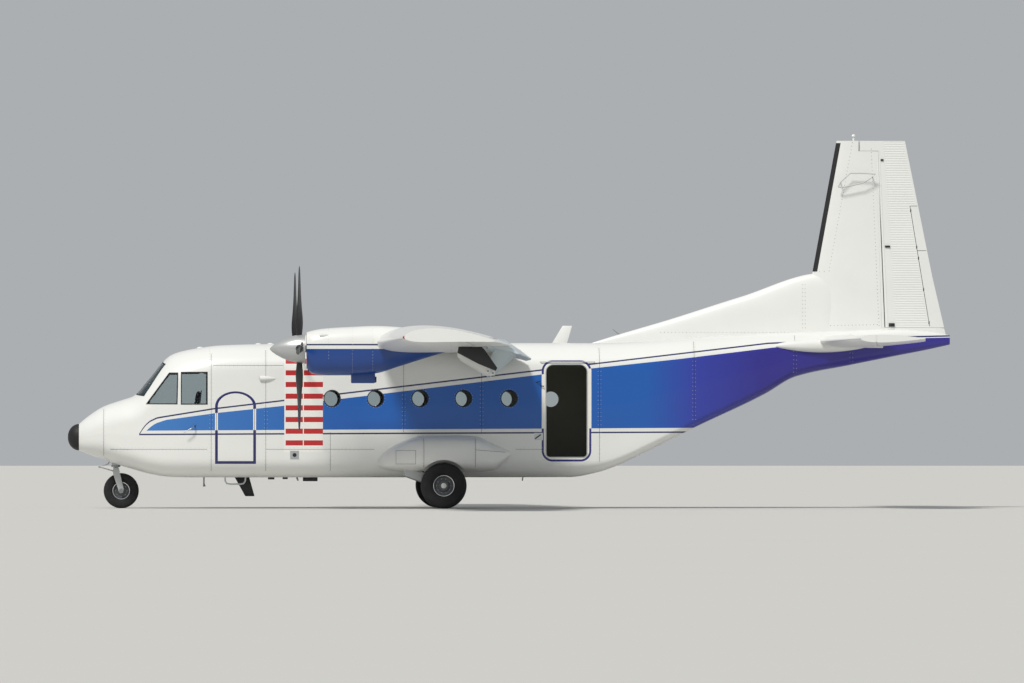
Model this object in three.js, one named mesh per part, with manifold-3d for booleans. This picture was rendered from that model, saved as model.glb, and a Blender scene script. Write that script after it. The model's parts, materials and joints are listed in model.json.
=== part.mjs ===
// Twin-turboprop high-wing utility transport with a rear ramp and a fixed nosewheel undercarriage.
// Millimetres. The nose points to -X, the port side is -Y, up is +Z.
// The origin is on the ground, under the middle of the aircraft's length.
import * as THREE from 'three';
import { mergeVertices } from 'three/addons/utils/BufferGeometryUtils.js';
import Module from 'manifold-3d';

const wasm = await Module();
wasm.setup();

// Driving dimensions
const SEAT_GAP = 0.3; // between pieces that rest on each other
const MOVE_GAP = 7; // between a moving piece and what it passes
const WALL = 80; // cabin and cockpit wall
const REAR_WALL = 45; // rear fuselage wall
const SKIN = 22; // skin and stringers of the hollow tail surfaces
const PORT = -1;
const STARBOARD = 1;
const SIDES = [['left', PORT], ['right', STARBOARD]];

const NOSE_TIP = -7581;
const CAP_REAR = -7390;
const NOSE_JOINT = -6963;
const COCKPIT_REAR = -4200;
const CABIN_REAR = 1494;
const TAIL_TIP = 7581;
const HOLLOW_FRONT = -6560;
const HOLLOW_REAR = 7000;
const FLOOR_TOP = 880;
const CREASE_SHARE = 0.53; // height of the side crease between the lower and the upper corner
const LOW_STEPS = 3;
const HIGH_STEPS = 4;

const HALF_SPAN = 9500;
const CENTRE_HALF_SPAN = 3200;
const ROOT_CHORD = 2500;
const TIP_CHORD = 1486;
const WING_FRONT = -2345;
const TIP_FRONT = -2060;
const WING_HEIGHT = 2815; // leading edge
const INCIDENCE = THREE.MathUtils.degToRad(2.8);
const ROOT_THICKNESS = 0.18;
const TIP_THICKNESS = 0.15;
const CAMBER = 0.04;

const FLAP_DROOP = THREE.MathUtils.degToRad(16);
const INNER_FLAP = { from: 1210, to: 3180, slantFrom: -485, slantTo: -485 };
const OUTER_FLAP = { from: 3215, to: 6150, slantFrom: -500, slantTo: -690 };
const SLANT_HEIGHT = 2760; // where the slanted flap gap crosses the named X
const FLAP_GAP = 11;
const FLAP_PIVOT_INNER = { x: -400, z: 2290 };
const FLAP_PIVOT_OUTER = { x: -600, z: 2300 };
const FLAP_PIN_RADIUS = 16;
const FLAP_PLATE = 24;

const AILERON = { from: 6240, to: 9200, hingeFrom: -745, hingeTo: -1035 };
const HINGE_PIN_RADIUS = 10;
const HINGE_LUG = 24;
const HINGE_LUG_RADIUS = 19;

const PROPELLER_Y = 2635;
const PROPELLER_Z = 2704;
const PROPELLER_X = -3650;
const PROPELLER_RADIUS = 1395;
const BLADE_COUNT = 4;
const SPINNER_FRONT = -4150;
const SPINNER_REAR = -3552;
const SPINNER_RADIUS = 245;
const NACELLE_FRONT = -3530;
const ENGINE_RADIUS = 240;
const ENGINE_FRONT = -3440;
const ENGINE_REAR = -2380;
const SHAFT_RADIUS = 60;

const FIN_FOOT = 2800;
const FIN_TOP = 6320;
const RUDDER_FOOT = 3110;
const TAILPLANE_Z = 2865;
const TAILPLANE_TIP_Y = 4200;
const TAILPLANE_ROOT_Y = 400;
const ELEVATOR_FROM = 575;
const ELEVATOR_TO = 4190;

const MAIN_AXLE = { x: -1181, y: 1550 };
const MAIN_TYRE = { radius: 392, width: 280, rim: 182 };
const NOSE_AXLE = { x: -6667, y: 0 };
const NOSE_TYRE = { radius: 302, width: 200, rim: 150 };
const TYRE_SIDES = 28;
const STEERING_X = -6760;

// Fuselage sections, front to rear
const HULL_STATIONS = [
  // x, low, high, half width, tuck, low corner wide, tall, high corner wide, tall
  [-7390, 991, 1446, 235, 4, 215, 205, 215, 205],
  [-7230, 925, 1580, 420, 8, 360, 260, 380, 290],
  [-6963, 837, 1747, 640, 14, 500, 330, 520, 360],
  [-6667, 729, 1850, 810, 20, 500, 330, 600, 400],
  [-6447, 665, 1925, 900, 24, 480, 330, 640, 440],
  [-6207, 597, 2190, 980, 28, 460, 320, 650, 520],
  [-5812, 537, 2623, 1080, 30, 430, 330, 640, 540],
  [-5616, 532, 2690, 1112, 30, 420, 330, 620, 520],
  [-5314, 530, 2745, 1140, 30, 410, 330, 590, 480],
  [-4981, 530, 2786, 1150, 30, 400, 330, 570, 460],
  [-4284, 530, 2808, 1150, 30, 400, 330, 560, 450],
  [-1880, 530, 2829, 1150, 30, 400, 330, 560, 450],
  [1000, 535, 2829, 1150, 30, 380, 310, 560, 450],
  [1494, 622, 2828, 1148, 30, 300, 200, 560, 450],
  [1714, 695, 2832, 1146, 28, 270, 170, 555, 445],
  [2327, 976, 2865, 1132, 24, 250, 150, 545, 430],
  [3115, 1371, 2925, 1075, 20, 240, 150, 520, 400],
  [4368, 1965, 2995, 925, 14, 240, 150, 470, 340],
  [4859, 2245, 3018, 845, 10, 230, 140, 440, 310],
  [5840, 2456, 3053, 640, 6, 220, 140, 370, 240],
  [6607, 2609, 3080, 440, 4, 190, 120, 280, 180],
  [7158, 2717, 3040, 260, 3, 120, 90, 170, 130],
  [7581, 2810, 2975, 110, 2, 55, 45, 70, 60],
];

const finishes = {
  paint: { color: 0xe9e8e2, roughness: 0.4, metalness: 0 },
  shade: { color: 0xd4d4cf, roughness: 0.45, metalness: 0 },
  radome: { color: 0x17181a, roughness: 0.6, metalness: 0 },
  glass: { color: 0x2a3136, roughness: 0.08, metalness: 0, transparent: true, opacity: 0.45 },
  liner: { color: 0xa9aa9f, roughness: 0.8, metalness: 0 },
  cloth: { color: 0x8b2c26, roughness: 0.9, metalness: 0 },
  floor: { color: 0x5f6364, roughness: 0.7, metalness: 0.1 },
  blade: { color: 0x202123, roughness: 0.5, metalness: 0 },
  bare: { color: 0xa8abad, roughness: 0.35, metalness: 0.9 },
  rubber: { color: 0x1b1b1c, roughness: 0.85, metalness: 0 },
  panel: { color: 0x2b2d30, roughness: 0.6, metalness: 0 },
};

const aircraft = new THREE.Group();

// Shape helpers

function toSolid(geometry) {
  const bare = geometry.clone();
  bare.deleteAttribute('normal');
  bare.deleteAttribute('uv');
  const merged = mergeVertices(bare, 0.001);
  return new wasm.Manifold(new wasm.Mesh({
    numProp: 3,
    vertProperties: new Float32Array(merged.attributes.position.array),
    triVerts: new Uint32Array(merged.index.array),
  }));
}

function toGeometry(solid) {
  const result = solid.getMesh();
  const geometry = new THREE.BufferGeometry();
  geometry.setAttribute('position', new THREE.BufferAttribute(result.vertProperties, result.numProp));
  geometry.setIndex(new THREE.BufferAttribute(result.triVerts, 1));
  return geometry;
}

function join(first, ...others) {
  return others.reduce((sum, other) => sum.add(other), first);
}

function cut(first, ...others) {
  return others.reduce((rest, other) => rest.subtract(other), first);
}

function both(first, ...others) {
  return others.reduce((common, other) => common.intersect(other), first);
}

// Adds a named piece to the aircraft, turned about a hinge where one is given.
function place(name, solid, finish, hinge) {
  const geometry = toGeometry(solid);
  const mesh = new THREE.Mesh(geometry, new THREE.MeshStandardMaterial(finishes[finish]));
  mesh.name = name;
  if (!hinge) {
    aircraft.add(mesh);
    return;
  }
  const pivot = new THREE.Group();
  pivot.position.copy(hinge.point);
  pivot.quaternion.setFromAxisAngle(hinge.axis, hinge.angle);
  mesh.position.copy(hinge.point).negate();
  pivot.add(mesh);
  aircraft.add(pivot);
}

// The two directions that a flat ring spreads in: all but its narrowest.
function flatDirections(ring) {
  const spreads = [0, 1, 2].map((k) => {
    const values = ring.map((point) => point[k]);
    return Math.max(...values) - Math.min(...values);
  });
  const narrow = spreads.indexOf(Math.min(...spreads));
  return [0, 1, 2].filter((k) => k !== narrow);
}

function capFaces(ring, first, reversed) {
  const [across, up] = flatDirections(ring);
  const outline = ring.map((point) => new THREE.Vector2(point[across], point[up]));
  const turn = Math.sign(THREE.ShapeUtils.area(outline)) * (reversed ? -1 : 1);
  const faces = THREE.ShapeUtils.triangulateShape(outline.slice(), []);
  return faces.flatMap(([a, b, c]) => {
    const area = THREE.ShapeUtils.area([outline[a], outline[b], outline[c]]);
    const ordered = area * turn > 0 ? [a, b, c] : [a, c, b];
    return ordered.map((corner) => corner + first);
  });
}

// A closed body through rings of points, each ring with as many points as the next.
function loft(rings) {
  const count = rings[0].length;
  const index = [];
  for (let r = 0; r < rings.length - 1; r += 1) {
    for (let i = 0; i < count; i += 1) {
      const next = (i + 1) % count;
      const [a, b] = [r * count + i, r * count + next];
      const [c, d] = [a + count, b + count];
      index.push(a, b, d, a, d, c);
    }
  }
  index.push(...capFaces(rings[0], 0, true));
  index.push(...capFaces(rings[rings.length - 1], (rings.length - 1) * count, false));
  const geometry = new THREE.BufferGeometry();
  geometry.setAttribute('position', new THREE.Float32BufferAttribute(rings.flat(2), 3));
  geometry.setIndex(index);
  if (signedVolume(geometry) < 0) {
    geometry.index.array.reverse();
  }
  return toSolid(geometry);
}

function signedVolume(geometry) {
  const [a, b, c] = [new THREE.Vector3(), new THREE.Vector3(), new THREE.Vector3()];
  const corners = geometry.index.array;
  let volume = 0;
  for (let i = 0; i < corners.length; i += 3) {
    a.fromBufferAttribute(geometry.attributes.position, corners[i]);
    b.fromBufferAttribute(geometry.attributes.position, corners[i + 1]);
    c.fromBufferAttribute(geometry.attributes.position, corners[i + 2]);
    volume += a.dot(b.cross(c)) / 6;
  }
  return volume;
}

function box(xFrom, xTo, yFrom, yTo, zFrom, zTo) {
  const size = [xTo - xFrom, yTo - yFrom, zTo - zFrom].map(Math.abs);
  const geometry = new THREE.BoxGeometry(...size);
  geometry.translate((xFrom + xTo) / 2, (yFrom + yTo) / 2, (zFrom + zTo) / 2);
  return toSolid(geometry);
}

// A round bar along any line, from one [x, y, z] point to another.
function bar(from, to, radius, sides = 12, endRadius = radius) {
  const start = new THREE.Vector3(...from);
  const way = new THREE.Vector3(...to).sub(start);
  const geometry = new THREE.CylinderGeometry(endRadius, radius, way.length(), sides);
  geometry.translate(0, way.length() / 2, 0);
  const turn = new THREE.Quaternion();
  turn.setFromUnitVectors(new THREE.Vector3(0, 1, 0), way.clone().normalize());
  geometry.applyQuaternion(turn);
  geometry.translate(...start.toArray());
  return toSolid(geometry);
}

// The radius of a hole that a bar of the same number of sides turns in.
function turningHole(radius, sides = 12) {
  return radius / Math.cos(Math.PI / sides) + SEAT_GAP;
}

function extruded(outline, depth) {
  const shape = new THREE.Shape(outline.map(([u, v]) => new THREE.Vector2(u, v)));
  return new THREE.ExtrudeGeometry(shape, { depth, bevelEnabled: false });
}

// An [x, z] outline carried across from one Y to another.
function sidePrism(outline, yFrom, yTo) {
  const geometry = extruded(outline, Math.abs(yTo - yFrom));
  geometry.rotateX(Math.PI / 2);
  geometry.translate(0, Math.max(yFrom, yTo), 0);
  return toSolid(geometry);
}

// An [x, y] outline carried up from one Z to another.
function planPrism(outline, zFrom, zTo) {
  const geometry = extruded(outline, zTo - zFrom);
  geometry.translate(0, 0, zFrom);
  return toSolid(geometry);
}

// A [y, z] outline carried back from one X to another.
function frontPrism(outline, xFrom, xTo) {
  const geometry = extruded(outline, xTo - xFrom);
  geometry.rotateY(Math.PI / 2);
  geometry.rotateX(Math.PI / 2);
  geometry.translate(xFrom, 0, 0);
  return toSolid(geometry);
}

// A [radius, along] profile spun about a line along X.
function spunAlongX(profile, y, z, sides) {
  const points = profile.map(([radius, along]) => new THREE.Vector2(radius, along));
  const geometry = new THREE.LatheGeometry(points, sides);
  geometry.rotateZ(-Math.PI / 2);
  geometry.translate(0, y, z);
  return orientedSolid(geometry);
}

// A [radius, along] profile spun about a line along Y, with a flat side down.
function spunAlongY(profile, x, y, z, sides) {
  const points = profile.map(([radius, along]) => new THREE.Vector2(radius, along));
  const geometry = new THREE.LatheGeometry(points, sides);
  geometry.rotateY(Math.PI / sides);
  geometry.translate(x, y, z);
  return orientedSolid(geometry);
}

function orientedSolid(geometry) {
  if (signedVolume(geometry) < 0) {
    geometry.index.array.reverse();
  }
  return toSolid(geometry);
}

function between(from, to, share) {
  return from + (to - from) * share;
}

// Fuselage

// The row of a station table at any place along it.
function rowAt(table, place) {
  const after = Math.max(1, table.findIndex((row) => row[0] >= place));
  const [first, last] = [table[after - 1], table[after]];
  const share = (place - first[0]) / (last[0] - first[0]);
  return first.map((value, k) => between(value, last[k], share));
}

function hullRow(x) {
  return rowAt(HULL_STATIONS, x);
}

// One fuselage section: two lower corners, two creases and two upper corners, moved in by the inset.
function hullRing(row, wanted) {
  const [x, low, high, half, tuck, lowWide, lowTall, highWide, highTall] = row;
  const inset = Math.min(wanted, 0.9 * Math.min(lowWide, lowTall, highWide, highTall));
  const crease = between(low + lowTall, high - highTall, CREASE_SHARE);
  const points = [];
  for (let i = 0; i <= LOW_STEPS; i += 1) {
    const angle = (i / LOW_STEPS) * (Math.PI / 2);
    points.push([
      half - tuck - lowWide + (lowWide - inset) * Math.sin(angle),
      low + lowTall - (lowTall - inset) * Math.cos(angle),
    ]);
  }
  points.push([half - inset, crease]);
  for (let i = 0; i <= HIGH_STEPS; i += 1) {
    const angle = (i / HIGH_STEPS) * (Math.PI / 2);
    points.push([
      half - highWide + (highWide - inset) * Math.cos(angle),
      high - highTall + (highTall - inset) * Math.sin(angle),
    ]);
  }
  const port = points.map(([y, z]) => [x, -y, z]).reverse();
  return [...points.map(([y, z]) => [x, y, z]), ...port];
}

const wholeHulls = new Map();

// The whole fuselage as one closed body, with its skin moved in by the inset.
function wholeHull(inset) {
  if (!wholeHulls.has(inset)) {
    wholeHulls.set(inset, loft(HULL_STATIONS.map((row) => hullRing(row, inset))));
  }
  return wholeHulls.get(inset);
}

// The fuselage between two stations. All lengths are cut from one loft, so their skins agree.
function hull(inset, xFrom, xTo) {
  return both(wholeHull(inset), box(xFrom, xTo, -1500, 1500, 0, 4000));
}

function hullWall(outer, inner, xFrom, xTo) {
  return cut(hull(outer, xFrom, xTo), hull(inner, xFrom, xTo));
}

const hullForSeats = hull(-SEAT_GAP, CAP_REAR, TAIL_TIP);

function noseCap() {
  const [, low, high, half] = HULL_STATIONS[0];
  const middle = (low + high) / 2;
  const base = hullRing(HULL_STATIONS[0], 0);
  const depth = CAP_REAR - SEAT_GAP - NOSE_TIP;
  const shares = [0, 0.35, 0.62, 0.82, 0.94, 1];
  const rings = shares.map((share) => {
    const size = Math.sqrt(1 - (share * 0.985) ** 2);
    const x = CAP_REAR - SEAT_GAP - depth * share;
    return base.map(([, y, z]) => [x, y * size, middle + (z - middle) * size]);
  });
  return loft(rings);
}

const SIDE_GLASS = [[-6246, 1774], [-5846, 2318], [-5193, 2328], [-5193, 1774]];
const SIDE_WINDOWS = [
  [[-6222, 1790], [-5840, 2304], [-5706, 2304], [-5718, 1790]],
  [[-5632, 1786], [-5632, 2316], [-5205, 2316], [-5205, 1786]],
];
const SCREEN_GLASS = [[-820, 1915], [0, 1975], [820, 1915], [770, 2470], [0, 2560], [-770, 2470]];
const SCREEN_PANES = [
  [[28, 1990], [805, 1932], [757, 2455], [28, 2545]],
  [[-28, 1990], [-28, 2545], [-757, 2455], [-805, 1932]],
];
const SCREEN_FRONT = -6620;
const SCREEN_REAR = -5770;
const GLASS_OUTER = 16;
const GLASS_INNER = 34;

function glassLayer(outer, inner) {
  return hullWall(outer, inner, HOLLOW_FRONT, COCKPIT_REAR);
}

function sideReach(outline, side) {
  return sidePrism(outline, side * 350, side * 1300);
}

function screenReach(outline) {
  return frontPrism(outline, SCREEN_FRONT, SCREEN_REAR);
}

const DOOR = { front: -5040, rear: -4390, low: 785, spring: 1740, rise: 240, draft: 14 };
const REAR_DOOR = { front: 584, rear: 1276, low: 879, high: 2450, lowRadius: 60, highRadius: 120 };

// The crew door's arched outline, grown by a gap.
function doorOutline(grow) {
  const middle = (DOOR.front + DOOR.rear) / 2;
  const half = (DOOR.rear - DOOR.front) / 2 + grow;
  const outline = [[middle - half, DOOR.low - grow], [middle + half, DOOR.low - grow]];
  const steps = 10;
  for (let i = 0; i <= steps; i += 1) {
    const angle = (i / steps) * Math.PI;
    outline.push([
      middle + half * Math.cos(angle),
      DOOR.spring + (DOOR.rise + grow) * Math.sin(angle),
    ]);
  }
  return outline;
}

// The door's way through the wall narrows inwards, so that its inner edge swings clear.
function doorBlock(grow) {
  const rings = [[-1300, DOOR.draft], [-700, -4 * DOOR.draft]].map(([y, wider]) => (
    doorOutline(grow + wider).map(([x, z]) => [x, y, z])
  ));
  return loft(rings);
}

function rearDoorOutline() {
  const { front, rear, low, high, lowRadius, highRadius } = REAR_DOOR;
  const corners = [
    // x, z of the corner's centre, radius, first angle in quarter turns
    [rear - lowRadius, low + lowRadius, lowRadius, 3],
    [rear - highRadius, high - highRadius, highRadius, 0],
    [front + highRadius, high - highRadius, highRadius, 1],
    [front + lowRadius, low + lowRadius, lowRadius, 2],
  ];
  return corners.flatMap(([x, z, radius, quarter]) => [0, 1, 2, 3].map((i) => {
    const angle = (quarter + i / 3) * (Math.PI / 2);
    return [x + radius * Math.cos(angle), z + radius * Math.sin(angle)];
  }));
}

const DOOR_PIN_RADIUS = 10;
const KNUCKLE_HALF = 30;
const KNUCKLE_RADIUS = 19;
const HINGE_PLATE = 20;

// A round bar along Y about a hinge axis, from one side of a place to the other.
function axisBar(axis, yFrom, yTo, radius) {
  return bar([axis.x, yFrom, axis.z], [axis.x, yTo, axis.z], radius);
}

// A door with knuckles on its hinge line. Each knuckle is held by an arm, given by its low and high corner.
function withKnuckles(door, axis, places, [armLow, armHigh]) {
  const added = places.flatMap((y) => [
    axisBar(axis, y - KNUCKLE_HALF, y + KNUCKLE_HALF, KNUCKLE_RADIUS),
    box(armLow[0], armHigh[0], y - KNUCKLE_HALF, y + KNUCKLE_HALF, armLow[1], armHigh[1]),
  ]);
  const bores = places.map((y) => (
    axisBar(axis, y - KNUCKLE_HALF - 1, y + KNUCKLE_HALF + 1, turningHole(DOOR_PIN_RADIUS))
  ));
  return cut(join(door, ...added), ...bores);
}

// The fixed plate beside a knuckle, with the pin that goes into it.
function pinnedPlate(axis, y, outline) {
  const near = y + KNUCKLE_HALF + MOVE_GAP;
  return join(
    sidePrism(outline, near, near + HINGE_PLATE),
    axisBar(axis, near, near + HINGE_PLATE, KNUCKLE_RADIUS - 2),
    axisBar(axis, y - KNUCKLE_HALF + 5, near + HINGE_PLATE, DOOR_PIN_RADIUS),
  );
}

const CREW_HINGE = { x: -5050, y: -1163, heights: [1020, 1640], half: 20, pin: 5, knuckle: 11 };
const CREW_STRAP_DEEP = 52; // how far the straps reach into the wall from the hinge line

function uprightBar(zFrom, zTo, radius) {
  return bar([CREW_HINGE.x, CREW_HINGE.y, zFrom], [CREW_HINGE.x, CREW_HINGE.y, zTo], radius);
}

// The crew door's half of a hinge: a knuckle and the strap that holds it.
function crewStrap(z) {
  const { x, y, half, knuckle } = CREW_HINGE;
  return join(
    uprightBar(z - half, z + half, knuckle),
    box(x, x + 75, y - 6, y + 6, z - half, z + half),
    box(x + 25, x + 75, y - 6, y + CREW_STRAP_DEEP, z - half, z + half),
  );
}

// The frame's half: a knuckle above the door's, its strap, and the pin through both.
function crewFrameHinge(z) {
  const { x, y, half, pin, knuckle } = CREW_HINGE;
  const [low, high] = [z + half + MOVE_GAP, z + half + MOVE_GAP + 30];
  return join(
    uprightBar(low, high, knuckle),
    box(x - 65, x, y - 6, y + 6, low, high),
    box(x - 65, x - 15, y - 6, y + CREW_STRAP_DEEP, low, high),
    uprightBar(z - half, high, pin),
  );
}

const LEG_SOCKET_RADIUS = 72;
const LEG_SOCKET_TOP = 1120;

function cockpit() {
  const shell = cut(
    hull(0, NOSE_JOINT + SEAT_GAP, COCKPIT_REAR),
    hull(WALL, HOLLOW_FRONT, COCKPIT_REAR + 1),
    doorBlock(MOVE_GAP),
    bar([STEERING_X, 0, 500], [STEERING_X, 0, LEG_SOCKET_TOP], LEG_SOCKET_RADIUS + SEAT_GAP),
  );
  const glazed = cut(
    shell,
    both(glassLayer(GLASS_OUTER - SEAT_GAP, GLASS_INNER + SEAT_GAP), screenReach(SCREEN_GLASS)),
    ...SCREEN_PANES.map(screenReach),
  );
  const open = SIDES.reduce((rest, [, side]) => cut(
    rest,
    both(glassLayer(GLASS_OUTER - SEAT_GAP, GLASS_INNER + SEAT_GAP), sideReach(SIDE_GLASS, side)),
    ...SIDE_WINDOWS.map((outline) => sideReach(outline, side)),
  ), glazed);
  return join(open, ...CREW_HINGE.heights.map(crewFrameHinge));
}

// An outline pulled in towards its middle by about the seat gap.
function shrunk(outline) {
  const middle = [0, 1].map((k) => outline.reduce((sum, point) => sum + point[k], 0) / outline.length);
  return outline.map((point) => point.map((value, k) => value - Math.sign(value - middle[k]) * 0.5));
}

function sideGlass(side) {
  return both(glassLayer(GLASS_OUTER, GLASS_INNER), sideReach(shrunk(SIDE_GLASS), side));
}

function windscreen() {
  return both(glassLayer(GLASS_OUTER, GLASS_INNER), screenReach(shrunk(SCREEN_GLASS)));
}

const WINDOW_PLACES = [-3070, -2330, -1570, -830, -50];
const STARBOARD_EXTRA_WINDOW = 760;
const WINDOW_HEIGHT = 1877;
const WINDOW_RADIUS = 135;

function windowHole(x, side) {
  const y = [side * 900, side * 1300];
  return bar([x, y[0], WINDOW_HEIGHT], [x, y[1], WINDOW_HEIGHT], WINDOW_RADIUS, 16);
}

function cabin() {
  const holes = [
    ...WINDOW_PLACES.flatMap((x) => SIDES.map(([, side]) => windowHole(x, side))),
    windowHole(STARBOARD_EXTRA_WINDOW, STARBOARD),
  ];
  const shell = cut(
    hull(0, COCKPIT_REAR + SEAT_GAP, CABIN_REAR),
    hull(WALL, COCKPIT_REAR - 1, CABIN_REAR + 1),
    sidePrism(rearDoorOutline(), -1300, -900),
    wingSlab(-1300, 1300, 1),
    ...holes,
  );
  const { x, z } = RAMP_AXIS;
  const plate = [[1140, 600], [1140, 550], [1380, 576], [x - 5, z - 17], [x, z + 17], [1486, 618], [1486, 660]];
  return join(shell, ...RAMP_HINGES.map((y) => pinnedPlate(RAMP_AXIS, y, plate)));
}

const RAMP = { front: 1504, rear: 3107, half: 850, frontThick: 150 };
const UPPER_DOOR = { front: 3119, rear: 4700, frontHalf: 850, rearHalf: 700, thick: 80 };
const JOINT_LEAN = 0.72; // the ramp's edge swings aft, so the face between ramp and upper door leans back
const TAIL_CONE_FRONT = 4900;
const OPENING_FRONT = CABIN_REAR - 5;
const RAMP_AXIS = { x: 1499, z: 597 };
const RAMP_HINGES = [-620, 0, 620];
const UPPER_DOOR_AXIS = { x: 4690, z: 2256 };
const UPPER_DOOR_HINGES = [-450, 450];

function lowLine(x) {
  return hullRow(x)[1];
}

// The rear opening seen from above, grown by a gap.
function openingPlan(grow) {
  const half = [RAMP.half + grow, RAMP.half + grow, UPPER_DOOR.rearHalf + grow];
  const stations = [OPENING_FRONT, UPPER_DOOR.front, UPPER_DOOR.rear + grow];
  return [
    ...stations.map((x, i) => [x, -half[i]]),
    ...stations.map((x, i) => [x, half[i]]).reverse(),
  ];
}

function rearFuselage() {
  const shell = cut(
    hull(0, CABIN_REAR + SEAT_GAP, TAIL_CONE_FRONT - SEAT_GAP),
    hull(REAR_WALL, CABIN_REAR - 1, TAIL_CONE_FRONT + 1),
    planPrism(openingPlan(MOVE_GAP), 300, 2420),
  );
  const { x, z } = UPPER_DOOR_AXIS;
  const plate = [[x, z - 14], [x + 32, z - 14], [x + 32, 2175], [x + 100, 2225], [x + 90, z + 12], [x, z + 17]];
  return join(shell, ...UPPER_DOOR_HINGES.map((y) => pinnedPlate(UPPER_DOOR_AXIS, y, plate)));
}

function tailCone() {
  return cut(hull(0, TAIL_CONE_FRONT, TAIL_TIP), hull(REAR_WALL, TAIL_CONE_FRONT - 1, HOLLOW_REAR));
}

// The leaning face at the ramp's rear edge or at the upper door's front edge: its foot and its top.
function rearJoint(x) {
  const foot = lowLine(RAMP.rear);
  return [300, foot + UPPER_DOOR.thick * 0.75].map((z) => [x - JOINT_LEAN * (z - foot), z]);
}

function ramp() {
  const profile = [
    [RAMP.front, 300],
    ...rearJoint(RAMP.rear),
    [RAMP.front, lowLine(RAMP.front) + RAMP.frontThick],
  ];
  const panel = both(hull(0, CABIN_REAR, TAIL_TIP), sidePrism(profile, -RAMP.half, RAMP.half));
  const arm = [[RAMP_AXIS.x, RAMP_AXIS.z - 14], [RAMP_AXIS.x + 75, lowLine(RAMP_AXIS.x + 75) + 40]];
  const armBehind = [[RAMP.front, arm[0][1]], arm[1]];
  return withKnuckles(panel, RAMP_AXIS, RAMP_HINGES, armBehind);
}

function upperDoor() {
  const { front, rear, thick } = UPPER_DOOR;
  const profile = [
    ...rearJoint(front).reverse(),
    [rear, 300],
    [rear, lowLine(rear) + thick],
    [4368, lowLine(4368) + thick],
  ];
  const panel = both(
    hull(0, CABIN_REAR, TAIL_TIP),
    sidePrism(profile, -UPPER_DOOR.frontHalf, UPPER_DOOR.frontHalf),
    planPrism(openingPlan(0), 300, 2600),
  );
  const arm = [[UPPER_DOOR_AXIS.x - 50, lowLine(UPPER_DOOR_AXIS.x) + 30], [UPPER_DOOR_AXIS.x + 4, UPPER_DOOR_AXIS.z]];
  return withKnuckles(panel, UPPER_DOOR_AXIS, UPPER_DOOR_HINGES, arm);
}

function crewDoor() {
  const panel = both(hullWall(0, WALL, -5400, -4000), doorBlock(0));
  const { heights, half, pin } = CREW_HINGE;
  const bores = heights.map((z) => uprightBar(z - half - 1, z + half + 1, turningHole(pin)));
  return cut(join(panel, ...heights.map(crewStrap)), ...bores);
}

const BULKHEAD = 30;

function floor() {
  const slab = both(
    hull(WALL + SEAT_GAP, HOLLOW_FRONT + SEAT_GAP, CABIN_REAR - 10),
    box(HOLLOW_FRONT, CABIN_REAR, -1300, 1300, 0, FLOOR_TOP),
  );
  const socket = bar([STEERING_X, 0, 500], [STEERING_X, 0, 1300], LEG_SOCKET_RADIUS + 10);
  return cut(slab, socket, doorBlock(MOVE_GAP + 10));
}

function bulkhead() {
  const rear = COCKPIT_REAR + 200;
  const wall = both(
    hull(WALL + SEAT_GAP, rear - BULKHEAD, rear),
    box(rear - 100, rear + 100, -1300, 1300, FLOOR_TOP + SEAT_GAP, 3000),
  );
  return cut(wall, box(rear - 100, rear + 100, -280, 280, 800, 2500));
}

function instrumentPanel() {
  const profile = [[-6480, 1150], [-6080, 1180], [-6040, 1560], [-6120, 1690], [-6430, 1740]];
  const desk = both(
    hull(WALL + SEAT_GAP, HOLLOW_FRONT + SEAT_GAP, COCKPIT_REAR),
    sidePrism(profile, -760, 760),
  );
  const pedestal = box(-6300, -5900, -150, 150, FLOOR_TOP + SEAT_GAP, 1300);
  return join(desk, pedestal);
}

function pilotSeat(side) {
  const y = side * 470;
  const [front, rear] = [-5850, -5400];
  return join(
    box(front + 60, rear - 40, y - 170, y + 170, FLOOR_TOP + SEAT_GAP, 1250),
    box(front, rear, y - 230, y + 230, 1230, 1360),
    sidePrism([[rear - 90, 1300], [rear + 20, 1300], [rear + 110, 2010], [rear + 10, 2010]], y - 220, y + 220),
  );
}

// A canvas bench along the side of the cabin, with its frame down to the floor.
function bench(side) {
  const back = side * 1040;
  const inner = side * 640;
  return both(
    join(
      box(-3700, 380, inner, back, 1290, 1330),
      box(-3700, 380, side * 985, back, 1290, 1740),
      ...[-3600, -2610, -1620, -630, 280].map((x) => (
        box(x - 20, x + 20, inner, side * 700, FLOOR_TOP + SEAT_GAP, 1310)
      )),
    ),
    hull(WALL + SEAT_GAP, -4000, 1200),
  );
}

// Wing

// A closed aerofoil of [x, z] points from the trailing edge over the top and back below.
const CHORD_SHARES = [1, 0.85, 0.65, 0.45, 0.28, 0.13, 0.045, 0.008];

function halfThickness(share, thickness) {
  const root = Math.sqrt(share);
  const sum = 0.2969 * root - 0.126 * share - 0.3516 * share ** 2 + 0.2843 * share ** 3 - 0.1015 * share ** 4;
  return 5 * thickness * Math.max(sum, 0) + 0.002 * share;
}

function aerofoil(front, height, chord, thickness, camber, incidence, grow) {
  const line = (share) => 4 * camber * share * (1 - share) * (1.15 - 0.3 * share);
  const upper = CHORD_SHARES.map((s) => [s, line(s) + halfThickness(s, thickness)]);
  const lower = CHORD_SHARES.map((s) => [s, line(s) - halfThickness(s, thickness)]).reverse();
  const extra = grow / chord;
  const outline = [
    ...upper.map(([s, v]) => [s === 1 ? s + extra : s, v + extra]),
    [-extra, 0],
    ...lower.map(([s, v]) => [s === 1 ? s + extra : s, v - extra]),
  ];
  return outline.map(([s, v]) => [
    front + chord * (s * Math.cos(incidence) + v * Math.sin(incidence)),
    height + chord * (v * Math.cos(incidence) - s * Math.sin(incidence)),
  ]);
}

function wingShare(y) {
  return Math.max(0, (Math.abs(y) - CENTRE_HALF_SPAN) / (HALF_SPAN - CENTRE_HALF_SPAN));
}

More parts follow.
